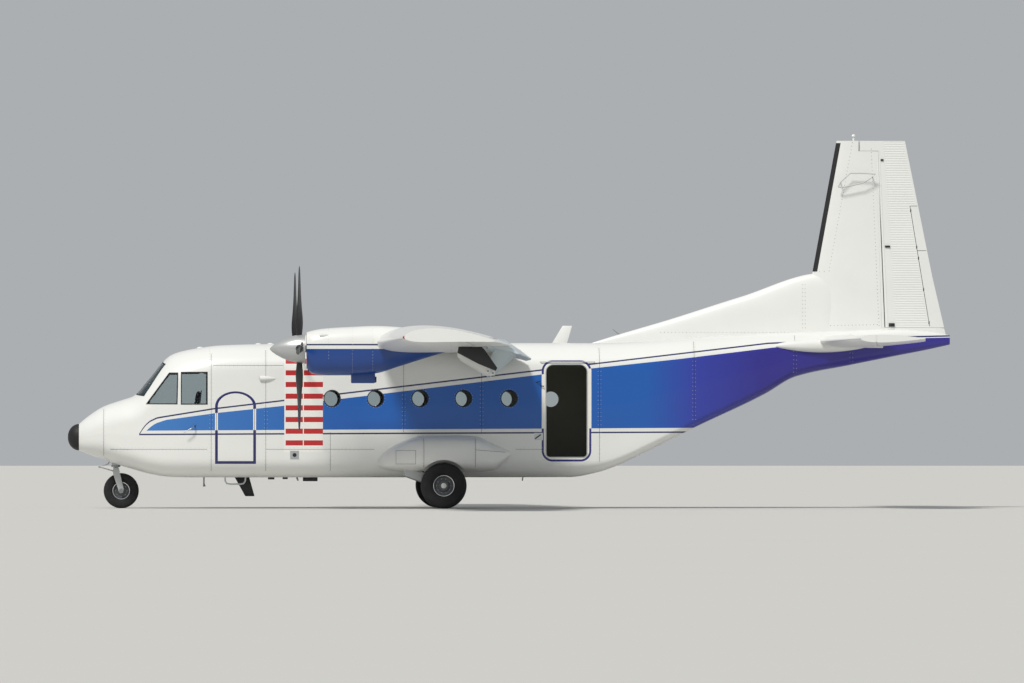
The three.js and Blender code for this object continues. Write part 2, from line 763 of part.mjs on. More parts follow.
function wingRing(y, grow) {
  const share = wingShare(y);
  const outline = aerofoil(
    between(WING_FRONT, TIP_FRONT, share),
    WING_HEIGHT,
    between(ROOT_CHORD, TIP_CHORD, share),
    between(ROOT_THICKNESS, TIP_THICKNESS, share),
    CAMBER,
    INCIDENCE,
    grow,
  );
  return outline.map(([x, z]) => [x, y, z]);
}

function wingSlab(yFrom, yTo, grow) {
  return loft([wingRing(yFrom, grow), wingRing(yTo, grow)]);
}

// Everything behind the slanted flap gap, between two places along the span.
function flapReach(flap, side, back, extend) {
  const ring = (y, slant) => {
    const lean = (z) => slant + back + (z - SLANT_HEIGHT);
    return [[lean(2300), side * y, 2300], [lean(3300), side * y, 3300], [1500, side * y, 3300], [1500, side * y, 2300]];
  };
  const slope = (flap.slantTo - flap.slantFrom) / (flap.to - flap.from);
  const [from, to] = [flap.from - extend, flap.to + extend];
  return loft([
    ring(from, flap.slantFrom - slope * extend),
    ring(to, flap.slantTo + slope * extend),
  ]);
}

// The hinge line of each flap: its pivots at the inner and at the outer end.
function flapPivot(flap, y) {
  if (flap === INNER_FLAP) {
    return FLAP_PIVOT_INNER;
  }
  const share = (y - OUTER_FLAP.from) / (OUTER_FLAP.to - OUTER_FLAP.from);
  return {
    x: between(FLAP_PIVOT_INNER.x, FLAP_PIVOT_OUTER.x, share),
    z: between(FLAP_PIVOT_INNER.z, FLAP_PIVOT_OUTER.z, share),
  };
}

function flapHinge(flap, side) {
  const [near, far] = [flapPivot(flap, flap.from), flapPivot(flap, flap.to)];
  const axis = new THREE.Vector3(far.x - near.x, side * (flap.to - flap.from), far.z - near.z);
  axis.multiplyScalar(side).normalize();
  return { point: new THREE.Vector3(near.x, side * flap.from, near.z), axis, angle: FLAP_DROOP };
}

function alongHinge(hinge, y, reach) {
  const point = hinge.point.clone().addScaledVector(hinge.axis, (y - hinge.point.y) / hinge.axis.y);
  return [
    point.clone().addScaledVector(hinge.axis, -reach).toArray(),
    point.clone().addScaledVector(hinge.axis, reach).toArray(),
  ];
}

const FLAP_BRACKETS = new Map([[INNER_FLAP, [1420, 2980]], [OUTER_FLAP, [3420, 5960]]]);

// The fixed plate under the wing that carries a flap's pivot, with its pin.
function flapBracket(flap, side, y) {
  const pivot = flapPivot(flap, y);
  const plate = sidePrism([
    [pivot.x - 520, 2720],
    [pivot.x - 500, pivot.z + 230],
    [pivot.x - 30, pivot.z - 45],
    [pivot.x + 40, pivot.z - 25],
    [pivot.x + 45, pivot.z + 35],
    [pivot.x - 215, 2640],
    [pivot.x - 215, 2720],
  ], side * y, side * (y + FLAP_PLATE));
  const ends = alongHinge(flapHinge(flap, side), side * y, 2 * FLAP_PLATE);
  return join(plate, bar(...ends, FLAP_PIN_RADIUS));
}

// The arm that hangs the flap from its pivot, beside the fixed plate.
function flapArm(flap, side, y) {
  const pivot = flapPivot(flap, y);
  const share = wingShare(y);
  const inner = y - MOVE_GAP;
  return sidePrism([
    [pivot.x - 45, pivot.z + 30],
    [pivot.x - 25, pivot.z - 38],
    [pivot.x + 40, pivot.z - 35],
    [pivot.x + 300, between(2690, 2700, share)],
    [pivot.x + 20, between(2760, 2780, share)],
  ], side * (inner - FLAP_PLATE), side * inner);
}

function wingCentre() {
  const cuts = SIDES.map(([, side]) => flapReach(INNER_FLAP, side, 0, 25));
  const brackets = SIDES.flatMap(([, side]) => (
    FLAP_BRACKETS.get(INNER_FLAP).map((y) => flapBracket(INNER_FLAP, side, y))
  ));
  return join(cut(wingSlab(-CENTRE_HALF_SPAN, CENTRE_HALF_SPAN, 0), ...cuts), ...brackets);
}

function wingPart(side, from, to, grow) {
  return wingSlab(side * from, side * to, grow);
}

function flap(which, side) {
  const body = both(
    wingPart(side, Math.min(which.from, 3199), which.to, 0),
    flapReach(which, side, FLAP_GAP, 0),
  );
  const places = FLAP_BRACKETS.get(which);
  const arms = places.map((y) => flapArm(which, side, y));
  const holes = places.map((y) => (
    bar(...alongHinge(flapHinge(which, side), side * y, 4 * FLAP_PLATE), turningHole(FLAP_PIN_RADIUS))
  ));
  return cut(join(body, ...arms), ...holes);
}

// Hinged control surfaces: a surface is split at a hinge line into a fixed part and a moving part.
// A hinge is given by its two ends, each a point on the axis and the radius of the round nose there.

function noseCone(hinge, grow) {
  const [a, b] = hinge.ends;
  return bar(a.at, b.at, a.radius + grow, 16, b.radius + grow);
}

function hingePoint(hinge, share) {
  const [a, b] = hinge.ends;
  return a.at.map((value, k) => between(value, b.at[k], share));
}

function hingeWay(hinge) {
  const [a, b] = hinge.ends;
  return new THREE.Vector3(...b.at).sub(new THREE.Vector3(...a.at)).normalize();
}

function hingePin(hinge, share, reach, radius) {
  const middle = new THREE.Vector3(...hingePoint(hinge, share));
  const way = hingeWay(hinge);
  const ends = [-reach, reach].map((step) => middle.clone().addScaledVector(way, step).toArray());
  return bar(...ends, radius);
}

const NOTCH_HALF = 32;
const NOTCH_REAR = HINGE_LUG_RADIUS + MOVE_GAP;

// The slot in the moving part's nose at a hinge.
function hingeNotch(hinge, share) {
  const [x, y, z] = hingePoint(hinge, share);
  const deep = 400;
  return hinge.upright
    ? box(x - deep, x + NOTCH_REAR, y - deep, y + deep, z - NOTCH_HALF, z + NOTCH_HALF)
    : box(x - deep, x + NOTCH_REAR, y - NOTCH_HALF, y + NOTCH_HALF, z - deep, z + deep);
}

// The fixed lug that reaches back to the hinge line, with its pin.
function hingeLug(hinge, share) {
  const [x, y, z] = hingePoint(hinge, share);
  const radius = between(hinge.ends[0].radius, hinge.ends[1].radius, share);
  const half = HINGE_LUG / 2;
  const forward = x - radius - MOVE_GAP - 60;
  const tall = HINGE_LUG_RADIUS * 0.8;
  const arm = hinge.upright
    ? box(forward, x, y - tall, y + tall, z - half, z + half)
    : box(forward, x, y - half, y + half, z - tall, z + tall);
  return join(
    arm,
    hingePin(hinge, share, half, HINGE_LUG_RADIUS),
    hingePin(hinge, share, NOTCH_HALF + 14, HINGE_PIN_RADIUS),
  );
}

const HINGE_SHARES = [0.22, 0.8];
const LINK_HALF = 12;
const LINK_REACH = 70;

// The lightening hole from a hinge's slot back into the hollow.
function hollowLink(hinge, share) {
  const [x, y, z] = hingePoint(hinge, share);
  return box(x, x + LINK_REACH, y - LINK_HALF, y + LINK_HALF, z - LINK_HALF, z + LINK_HALF);
}

function movingPart(surface, behind, hinge, hollow) {
  const whole = join(both(surface, behind), noseCone(hinge, 0));
  const body = hollow ? cut(whole, hollow, ...HINGE_SHARES.map((share) => hollowLink(hinge, share))) : whole;
  return HINGE_SHARES.reduce((rest, share) => cut(
    rest,
    hingeNotch(hinge, share),
    hingePin(hinge, share, NOTCH_HALF + 18, turningHole(HINGE_PIN_RADIUS)),
  ), body);
}

function aileronHinge(side, extend) {
  const slope = (AILERON.hingeTo - AILERON.hingeFrom) / (AILERON.to - AILERON.from);
  const ends = [AILERON.from - extend, AILERON.to + extend].map((y) => {
    const x = AILERON.hingeFrom + slope * (y - AILERON.from);
    const zs = wingRing(y, 0).filter(([px]) => px > x - 400).map(([px, , pz]) => [px, pz]);
    return { at: [x, side * y, surfaceMiddle(zs, x).middle], radius: surfaceMiddle(zs, x).half - 1 };
  });
  return { ends, upright: false };
}

// Where a vertical line crosses an outline: the middle and half of what lies between.
function surfaceMiddle(outline, x) {
  const heights = [];
  for (let i = 0; i < outline.length - 1; i += 1) {
    const [[xa, za], [xb, zb]] = [outline[i], outline[i + 1]];
    if ((xa - x) * (xb - x) <= 0 && xa !== xb) {
      heights.push(between(za, zb, (x - xa) / (xb - xa)));
    }
  }
  const [low, high] = [Math.min(...heights), Math.max(...heights)];
  return { middle: (low + high) / 2, half: (high - low) / 2 };
}

// A six-sided hollow inside an outline, a skin's thickness in from its two lines.
function hollowRing(outline, xFrom, xTo, skin) {
  const lines = [0, 0.45, 1].map((share) => {
    const x = between(xFrom, xTo, share);
    return { x, ...surfaceMiddle(outline, x) };
  });
  return [
    ...lines.map(({ x, middle, half }) => [x, middle + half - skin]),
    ...lines.map(({ x, middle, half }) => [x, middle - half + skin]).reverse(),
  ];
}

// What lies behind the hinge line, from a share of the nose radius ahead of it.
function behindHinge(hinge, ahead, reach) {
  const rings = hinge.ends.map(({ at: [x, y, z], radius }) => {
    const front = x - ahead * radius;
    return hinge.upright
      ? [[front, -reach, z], [front, reach, z], [x + 2500, reach, z], [x + 2500, -reach, z]]
      : [[front, y, z - reach], [front, y, z + reach], [x + 2500, y, z + reach], [x + 2500, y, z - reach]];
  });
  return loft(rings);
}

const AILERON_END_GAP = 12;

function wingOuter(side) {
  const start = CENTRE_HALF_SPAN + SEAT_GAP;
  const panel = cut(wingPart(side, start, HALF_SPAN, 0), flapReach(OUTER_FLAP, side, 0, 25));
  const brackets = FLAP_BRACKETS.get(OUTER_FLAP).map((y) => flapBracket(OUTER_FLAP, side, y));
  const wide = aileronHinge(side, AILERON_END_GAP);
  const open = cut(panel, behindHinge(wide, 0.5, 500), noseCone(wide, MOVE_GAP));
  const lugs = HINGE_SHARES.map((share) => hingeLug(aileronHinge(side, 0), share));
  return join(open, ...lugs, ...brackets);
}

function aileron(side) {
  const hinge = aileronHinge(side, 0);
  return movingPart(wingPart(side, CENTRE_HALF_SPAN, HALF_SPAN, 0), behindHinge(hinge, 0, 500), hinge);
}

// Nacelles and propellers

const NACELLE_STATIONS = [
  // x, low, high, half width
  [NACELLE_FRONT, 2372, 2985, 275],
  [-3440, 2285, 3012, 330],
  [-3250, 2257, 3045, 352],
  [-2800, 2257, 3075, 360],
  [-2370, 2290, 3092, 350],
  [-1950, 2415, 3072, 325],
  [-1490, 2560, 2900, 270],
  [-1180, 2650, 2800, 200],
];
const NACELLE_POINTS = 24;
const NACELLE_SQUARENESS = 2.8;

function roundedRing(x, y, z, halfWide, halfTall, squareness, count) {
  const points = [];
  for (let i = 0; i < count; i += 1) {
    const angle = (i / count) * 2 * Math.PI;
    const [c, s] = [Math.cos(angle), Math.sin(angle)];
    points.push([
      x,
      y + halfWide * Math.sign(c) * Math.abs(c) ** (2 / squareness),
      z + halfTall * Math.sign(s) * Math.abs(s) ** (2 / squareness),
    ]);
  }
  return points;
}

function nacelle(side) {
  const y = side * PROPELLER_Y;
  const rings = NACELLE_STATIONS.map(([x, low, high, half]) => (
    roundedRing(x, y, (low + high) / 2, half, (high - low) / 2, NACELLE_SQUARENESS, NACELLE_POINTS)
  ));
  const exhaust = box(-2780, -2374, y - 120, y + 120, 2125, 2330);
  const bay = bar([-3480, y, PROPELLER_Z], [ENGINE_REAR + SEAT_GAP, y, PROPELLER_Z], ENGINE_RADIUS + 22);
  const mouth = bar([-3700, y, PROPELLER_Z], [-3470, y, PROPELLER_Z], 150);
  const wing = wingPart(side, 2000, 3190, SEAT_GAP);
  return largest(cut(join(loft(rings), exhaust), wing, bay, mouth));
}

// The largest body of what a cut leaves.
function largest(solid) {
  const parts = solid.decompose();
  return parts.reduce((best, part) => (part.volume() > best.volume() ? part : best));
}

function engine(side) {
  const profile = [
    [0, SPINNER_REAR + SEAT_GAP],
    [SHAFT_RADIUS, SPINNER_REAR + SEAT_GAP],
    [SHAFT_RADIUS, ENGINE_FRONT],
    [ENGINE_RADIUS, ENGINE_FRONT],
    [ENGINE_RADIUS, ENGINE_REAR],
    [0, ENGINE_REAR],
  ];
  return spunAlongX(profile, side * PROPELLER_Y, PROPELLER_Z, 24);
}

const BLADE_STATIONS = [
  // radius, chord, thickness, twist in degrees from the plane of rotation
  [90, 80, 76, 60],
  [250, 110, 62, 54],
  [430, 180, 40, 42],
  [700, 225, 28, 22],
  [1000, 225, 21, 13],
  [1300, 190, 14, 9],
  [PROPELLER_RADIUS, 110, 7, 8],
];
const HUB_RADIUS = 115;
const HUB_FRONT = -3760;
const BLADE_POINTS = 8;
const BLADE_SLOT_RADIUS = 66;

function blade(y, turn) {
  const rings = BLADE_STATIONS.map(([radius, chord, thick, twist]) => {
    const pitch = THREE.MathUtils.degToRad(twist);
    return roundedRing(0, 0, 0, chord / 2, thick / 2, 2, BLADE_POINTS).map(([, u, v]) => {
      const across = u * Math.cos(pitch) - v * Math.sin(pitch);
      const along = u * Math.sin(pitch) + v * Math.cos(pitch);
      const [sin, cos] = [Math.sin(turn), Math.cos(turn)];
      return [PROPELLER_X + along, y + across * cos - radius * sin, PROPELLER_Z + across * sin + radius * cos];
    });
  });
  return loft(rings);
}

function bladeTurns() {
  return Array.from({ length: BLADE_COUNT }, (_, i) => (i / BLADE_COUNT) * 2 * Math.PI);
}

function hub(y, grow) {
  return bar([HUB_FRONT - grow, y, PROPELLER_Z], [SPINNER_REAR + 30, y, PROPELLER_Z], HUB_RADIUS + grow);
}

function propeller(side) {
  const y = side * PROPELLER_Y;
  const round = bar([HUB_FRONT, y, PROPELLER_Z], [SPINNER_REAR, y, PROPELLER_Z], HUB_RADIUS);
  return join(round, ...bladeTurns().map((turn) => blade(y, turn)));
}

// The round hole that a blade's root comes out through.
function bladeSlot(y, turn) {
  const reach = SPINNER_RADIUS + 60;
  const end = [PROPELLER_X, y - reach * Math.sin(turn), PROPELLER_Z + reach * Math.cos(turn)];
  return bar([PROPELLER_X, y, PROPELLER_Z], end, BLADE_SLOT_RADIUS, 10);
}

function spinner(side) {
  const y = side * PROPELLER_Y;
  const length = SPINNER_REAR - SPINNER_FRONT;
  const shares = [1, 0.85, 0.65, 0.45, 0.28, 0.13, 0.04];
  const profile = [
    [0, SPINNER_FRONT],
    ...shares.toReversed().map((s) => [SPINNER_RADIUS * Math.sin((s * Math.PI) / 2) ** 0.72, SPINNER_FRONT + length * s]),
    [0, SPINNER_REAR],
  ];
  return cut(
    spunAlongX(profile, y, PROPELLER_Z, 20),
    hub(y, SEAT_GAP),
    ...bladeTurns().map((turn) => bladeSlot(y, turn)),
  );
}

// Tail

const FIN_STATIONS = [
  // z, front, rear, thickness share
  [FIN_FOOT, 4980, 7562, 0.1],
  [3989, 5208, 7286, 0.1],
  [FIN_TOP, 5636, 6817, 0.09],
];
const RUDDER_HINGE = [
  // x, z, nose radius
  [6519, RUDDER_FOOT, 103],
  [6375, 6150, 48],
];

// A level, evenly curved section whose chord runs along X.
function levelSection(front, rear, thickness) {
  const chord = rear - front;
  const upper = CHORD_SHARES.map((s) => [front + chord * s, chord * halfThickness(s, thickness)]);
  const lower = CHORD_SHARES.map((s) => [front + chord * s, -chord * halfThickness(s, thickness)]);
  return [...upper, [front, 0], ...lower.reverse()];
}

function sectionAt(table, place) {
  const [, front, rear, thick] = rowAt(table, place);
  return levelSection(front, rear, thick);
}

function finBlade(top) {
  const places = [...FIN_STATIONS.map(([z]) => z).filter((z) => z < top), top];
  return loft(places.map((z) => sectionAt(FIN_STATIONS, z).map(([x, y]) => [x, y, z])));
}

const DORSAL_STATIONS = [
  // x, top, half width at the foot
  [1406, 2836, 20],
  [1756, 2947, 60],
  [2721, 3232, 95],
  [3983, 3634, 120],
  [5400, 4045, 125],
];

function dorsal() {
  return loft(DORSAL_STATIONS.map(([x, top, half]) => [
    [x, half, 2650],
    [x, half * 0.8, between(2830, top, 0.35)],
    [x, half * 0.35, between(2830, top, 0.9)],
    [x, 0, top],
    [x, -half * 0.35, between(2830, top, 0.9)],
    [x, -half * 0.8, between(2830, top, 0.35)],
    [x, -half, 2650],
  ]));
}

function rudderHinge(extend) {
  const slope = (RUDDER_HINGE[1][0] - RUDDER_HINGE[0][0]) / (RUDDER_HINGE[1][1] - RUDDER_HINGE[0][1]);
  const [foot, top] = RUDDER_HINGE;
  return {
    ends: [
      { at: [foot[0] - slope * extend, 0, foot[1] - extend], radius: foot[2] },
      { at: [top[0] + slope * extend, 0, top[1] + extend], radius: top[2] },
    ],
    upright: true,
  };
}

const RUDDER_HORN = { front: 6034, low: 6150 };
const SPAR_BACK = 30; // from a fixed surface's rear face to its hollow
const NOSE_BACK = 45; // from a moving surface's hinge line to its hollow
const TRAILING_BACK = 200; // from a moving surface's trailing edge to its hollow
const MOVING_SKIN = 12;

// The hollow of the fixed part at one place: from near its leading edge to its rear spar.
function fixedHollow(outline, hingeX, noseRadius, lead) {
  const front = Math.min(...outline.map(([x]) => x));
  return hollowRing(outline, front + lead, hingeX - noseRadius - MOVE_GAP - SPAR_BACK, SKIN);
}

function movingHollow(outline, hingeX) {
  const rear = Math.max(...outline.map(([x]) => x));
  return hollowRing(outline, hingeX + NOSE_BACK, rear - TRAILING_BACK, MOVING_SKIN);
}

function rudderHingeAt(z) {
  const share = (z - RUDDER_HINGE[0][1]) / (RUDDER_HINGE[1][1] - RUDDER_HINGE[0][1]);
  const [x, , radius] = RUDDER_HINGE[0].map((value, k) => between(value, RUDDER_HINGE[1][k], share));
  return { x, radius };
}

function finHollow() {
  return loft([FIN_FOOT + 10, FIN_STATIONS[1][0], RUDDER_HORN.low - 60].map((z) => {
    const hinge = rudderHingeAt(z);
    return fixedHollow(sectionAt(FIN_STATIONS, z), hinge.x, hinge.radius, 150).map(([x, y]) => [x, y, z]);
  }));
}

function rudderHollow() {
  return loft([RUDDER_FOOT + 25, FIN_STATIONS[1][0], RUDDER_HORN.low - 30].map((z) => (
    movingHollow(sectionAt(FIN_STATIONS, z), rudderHingeAt(z).x).map(([x, y]) => [x, y, z])
  )));
}

function fin() {
  const wide = rudderHinge(MOVE_GAP);
  const blank = cut(join(finBlade(FIN_TOP), dorsal()), finHollow());
  const opened = cut(
    blank,
    hullForSeats,
    behindHinge(wide, 0.5, 500),
    noseCone(wide, MOVE_GAP),
    box(RUDDER_HORN.front - MOVE_GAP, 7000, -300, 300, RUDDER_HORN.low - MOVE_GAP, FIN_TOP + 10),
    box(6300, 7600, -300, 300, 2900, RUDDER_FOOT - MOVE_GAP).intersect(hull(-60, 5000, TAIL_TIP)),
  );
  return largest(join(opened, ...HINGE_SHARES.map((share) => hingeLug(rudderHinge(0), share))));
}

function rudder() {
  const hinge = rudderHinge(0);
  const horn = both(
    finBlade(FIN_TOP - 1),
    box(RUDDER_HORN.front, 7000, -300, 300, RUDDER_HORN.low - 1, FIN_TOP),
  );
  const body = movingPart(finBlade(FIN_TOP - 1), behindHinge(hinge, 0, 500), hinge, rudderHollow());
  return join(body, horn);
}

const TAIL_STATIONS = [
  // y, front, rear, thickness share
  [200, 5202, 7150, 0.12],
  [TAILPLANE_ROOT_Y, 5228, 7134, 0.12],
  [TAILPLANE_TIP_Y, 5726, 6808, 0.12],
];
const ELEVATOR_HINGE = [
  // x at the root and the tip stations
  [TAILPLANE_ROOT_Y, 6361],
  [TAILPLANE_TIP_Y, 6018],
];

function tailSurface(side) {
  return loft(TAIL_STATIONS.map(([y, front, rear, thick]) => (
    levelSection(front, rear, thick).map(([x, z]) => [x, side * y, TAILPLANE_Z + z])
  )));
}

function elevatorHingeAt(y) {
  const [[rootY, rootX], [tipY, tipX]] = ELEVATOR_HINGE;
  const x = between(rootX, tipX, (y - rootY) / (tipY - rootY));
  return { x, radius: surfaceMiddle(sectionAt(TAIL_STATIONS, Math.min(y, TAILPLANE_TIP_Y)), x).half - 1 };
}

function elevatorHinge(side, extend) {
  const ends = [ELEVATOR_FROM - extend, ELEVATOR_TO + extend].map((y) => {
    const { x, radius } = elevatorHingeAt(y);
    return { at: [x, side * y, TAILPLANE_Z], radius };
  });
  return { ends, upright: false };
}

// A loft of level outlines at places along the tailplane.
function tailLoft(side, places, outlineAt) {
  return loft(places.map((y) => outlineAt(y).map(([x, z]) => [x, side * y, TAILPLANE_Z + z])));
}

function tailplaneHollow(side) {
  return tailLoft(side, [TAIL_STATIONS[0][0], TAILPLANE_ROOT_Y, TAILPLANE_TIP_Y - 80], (y) => {
    const hinge = elevatorHingeAt(y);
    return fixedHollow(sectionAt(TAIL_STATIONS, y), hinge.x, hinge.radius, 75);
  });
}

function elevatorHollow(side) {
  return tailLoft(side, [ELEVATOR_FROM + 25, ELEVATOR_TO - 25], (y) => (
    movingHollow(sectionAt(TAIL_STATIONS, y), elevatorHingeAt(y).x)
  ));
}

function tailplane(side) {
  const wide = elevatorHinge(side, MOVE_GAP);
  const opened = cut(
    tailSurface(side),
    tailplaneHollow(side),
    hullForSeats,
    behindHinge(wide, 0.5, 500),
    noseCone(wide, MOVE_GAP),
    box(6300, 7600, side * 150, side * (ELEVATOR_FROM + 5), 2600, 3100),
    box(5900, 7600, side * (ELEVATOR_TO - 5), side * 4300, 2600, 3100),
  );
  return largest(join(opened, ...HINGE_SHARES.map((share) => hingeLug(elevatorHinge(side, 0), share))));
}

function elevator(side) {
  const hinge = elevatorHinge(side, 0);
  return movingPart(tailSurface(side), behindHinge(hinge, 0, 500), hinge, elevatorHollow(side));
}

// Undercarriage

const SPONSON_STATIONS = [
  // x, low, high, outer edge
  [-2290, 730, 830, 1180],
  [-2200, 672, 960, 1330],
  [-1950, 630, 1120, 1530],
  [-1500, 622, 1245, 1700],
  [-1000, 618, 1250, 1715],
  [-650, 618, 1238, 1640],
  [-330, 640, 1110, 1440],
  [-150, 770, 1030, 1310],
  [-30, 890, 975, 1200],
];
const SPONSON_ROOT = 900;

function sponsonBlank(side, grow) {
  const rings = SPONSON_STATIONS.map(([x, low, high, outer]) => roundedRing(
    x,
    side * SPONSON_ROOT,
    (low + high) / 2,
    outer - SPONSON_ROOT + grow,
    (high - low) / 2 + grow,
    3,
    20,
  ));
  return both(loft(rings), box(-2500, 100, side * 1000, side * 2000, 300, 1500));
}

const ARCH_RADIUS = 440;
const ARCH_INNER = 1375;

function axleHeight(tyre) {
  return tyre.radius * Math.cos(Math.PI / TYRE_SIDES);
}

function sponson(side) {
  const z = axleHeight(MAIN_TYRE);
  return cut(
    sponsonBlank(side, 0),
    hullForSeats,
    bar([MAIN_AXLE.x, side * ARCH_INNER, z], [MAIN_AXLE.x, side * 2100, z], ARCH_RADIUS, 32),
  );
}

const AXLE_RADIUS = 38;

// The trailing arm, the strut above it and the axle.
function mainLeg(side) {
  const z = axleHeight(MAIN_TYRE);
  const arm = sidePrism([
    [-1860, 700],
    [-1840, 560],
    [MAIN_AXLE.x - 20, z - 60],
    [MAIN_AXLE.x + 60, z - 40],
    [MAIN_AXLE.x + 60, z + 50],
    [MAIN_AXLE.x - 40, z + 90],
    [-1620, 640],
    [-1600, 760],
  ], side * 1265, side * 1360);
  const strut = bar([MAIN_AXLE.x - 20, side * 1310, z + 20], [-1080, side * 1310, 800], 45);
  const axle = bar([MAIN_AXLE.x, side * 1300, z], [MAIN_AXLE.x, side * 1650, z], AXLE_RADIUS);
  return cut(join(arm, strut, axle), sponsonBlank(side, SEAT_GAP), hullForSeats);
}

function wheel(axle, tyre, y) {
  const half = tyre.width / 2;
  const bore = AXLE_RADIUS + SEAT_GAP;
  const profile = [
    [bore, y - half * 0.6],
    [tyre.rim * 0.5, y - half * 0.6],
    [tyre.rim * 0.7, y - half * 0.35],
    [tyre.rim, y - half * 0.74],
    [tyre.rim, y + half * 0.74],
    [tyre.rim * 0.7, y + half * 0.35],
    [tyre.rim * 0.5, y + half * 0.6],
    [bore, y + half * 0.6],
    [bore, y - half * 0.6],
  ];
  return spunAlongY(profile, axle.x, 0, axleHeight(tyre), TYRE_SIDES);
}

function tyreRing(axle, tyre, y) {
  const half = tyre.width / 2;
  const inner = tyre.rim + SEAT_GAP;
  const wall = tyre.radius - inner;
  const profile = [
    [inner, y - half * 0.74],
    [inner + wall * 0.3, y - half * 0.97],
    [inner + wall * 0.65, y - half],
    [tyre.radius - wall * 0.08, y - half * 0.78],
    [tyre.radius, y - half * 0.42],
    [tyre.radius, y + half * 0.42],
    [tyre.radius - wall * 0.08, y + half * 0.78],
    [inner + wall * 0.65, y + half],
    [inner + wall * 0.3, y + half * 0.97],
    [inner, y + half * 0.74],
    [inner, y - half * 0.74],
  ];
  return spunAlongY(profile, axle.x, 0, axleHeight(tyre), TYRE_SIDES);
}

const LEG_BOTTOM = 705;
const PISTON_RADIUS = 44;
const PISTON_SIDES = 24;
const PISTON_TOP = 950;
const FORK_CROWN = 630;

function noseLeg() {
  return cut(
    bar([STEERING_X, 0, LEG_BOTTOM], [STEERING_X, 0, LEG_SOCKET_TOP - SEAT_GAP], LEG_SOCKET_RADIUS),
    bar(
      [STEERING_X, 0, LEG_BOTTOM - 10],
      [STEERING_X, 0, PISTON_TOP + MOVE_GAP],
      turningHole(PISTON_RADIUS, PISTON_SIDES),
      PISTON_SIDES,
    ),
  );
}

function noseFork() {
  const z = axleHeight(NOSE_TYRE);
  const side = NOSE_TYRE.width / 2 + 14;
  const legs = SIDES.map(([, way]) => sidePrism([
    [STEERING_X - 45, FORK_CROWN + 65],
    [STEERING_X - 45, FORK_CROWN - 40],
    [NOSE_AXLE.x - 45, z],
    [NOSE_AXLE.x - 20, z - 45],
    [NOSE_AXLE.x + 30, z - 35],
    [NOSE_AXLE.x + 45, z + 30],
    [STEERING_X + 60, FORK_CROWN + 20],
    [STEERING_X + 50, FORK_CROWN + 65],
  ], way * side, way * (side + 30)));
  const crown = box(STEERING_X - 45, STEERING_X + 50, -side - 10, side + 10, FORK_CROWN, FORK_CROWN + 65);
  const piston = bar([STEERING_X, 0, FORK_CROWN + 10], [STEERING_X, 0, PISTON_TOP], PISTON_RADIUS, PISTON_SIDES);
  const axle = bar([NOSE_AXLE.x, -side - 10, z], [NOSE_AXLE.x, side + 10, z], AXLE_RADIUS);
  return join(crown, piston, axle, ...legs);
}

// The assembly

function placeFuselage() {
  place('nose_cap', noseCap(), 'radome');
  place('nose_cone', hull(0, CAP_REAR, NOSE_JOINT), 'paint');
  place('cockpit_shell', cockpit(), 'paint');
  place('windscreen', windscreen(), 'glass');
  place('instrument_panel', instrumentPanel(), 'panel');
  place('cabin_bulkhead', bulkhead(), 'liner');
  place('crew_door', crewDoor(), 'paint');
  place('cabin_shell', cabin(), 'paint');
  place('cabin_floor', floor(), 'floor');
  place('rear_fuselage', rearFuselage(), 'paint');
  place('tail_cone', tailCone(), 'paint');
  place('rear_ramp', ramp(), 'shade');
  place('upper_rear_door', upperDoor(), 'shade');
  SIDES.forEach(([name, side]) => {
    place(`side_glass_${name}`, sideGlass(side), 'glass');
    place(`pilot_seat_${name}`, pilotSeat(side), 'cloth');
    place(`cabin_bench_${name}`, bench(side), 'cloth');
  });
}

function placeWing() {
  place('wing_centre', wingCentre(), 'paint');
  SIDES.forEach(([name, side]) => {
    place(`wing_${name}`, wingOuter(side), 'paint');
    place(`flap_inner_${name}`, flap(INNER_FLAP, side), 'paint', flapHinge(INNER_FLAP, side));
    place(`flap_outer_${name}`, flap(OUTER_FLAP, side), 'paint', flapHinge(OUTER_FLAP, side));
    place(`aileron_${name}`, aileron(side), 'paint');
    place(`nacelle_${name}`, nacelle(side), 'paint');
    place(`engine_${name}`, engine(side), 'bare');
    place(`propeller_${name}`, propeller(side), 'blade');
    place(`spinner_${name}`, spinner(side), 'bare');
  });
}

function placeTail() {
  place('fin', fin(), 'paint');
  place('rudder', rudder(), 'paint');
  SIDES.forEach(([name, side]) => {
    place(`tailplane_${name}`, tailplane(side), 'paint');
    place(`elevator_${name}`, elevator(side), 'paint');
  });
}

function placeUndercarriage() {
  SIDES.forEach(([name, side]) => {
    const y = side * MAIN_AXLE.y;
    place(`sponson_${name}`, sponson(side), 'paint');
    place(`main_leg_${name}`, mainLeg(side), 'shade');
    place(`main_wheel_${name}`, wheel(MAIN_AXLE, MAIN_TYRE, y), 'bare');
    place(`main_tyre_${name}`, tyreRing(MAIN_AXLE, MAIN_TYRE, y), 'rubber');
  });
  place('nose_leg', noseLeg(), 'shade');
  place('nose_fork', noseFork(), 'shade');
  place('nose_wheel', wheel(NOSE_AXLE, NOSE_TYRE, 0), 'bare');
  place('nose_tyre', tyreRing(NOSE_AXLE, NOSE_TYRE, 0), 'rubber');
}

placeFuselage();
placeWing();
placeTail();
placeUndercarriage();

export default aircraft;
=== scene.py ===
import json
import math
from types import SimpleNamespace as Sizes

import bmesh
import bpy
import numpy as np
from mathutils import Matrix, Vector

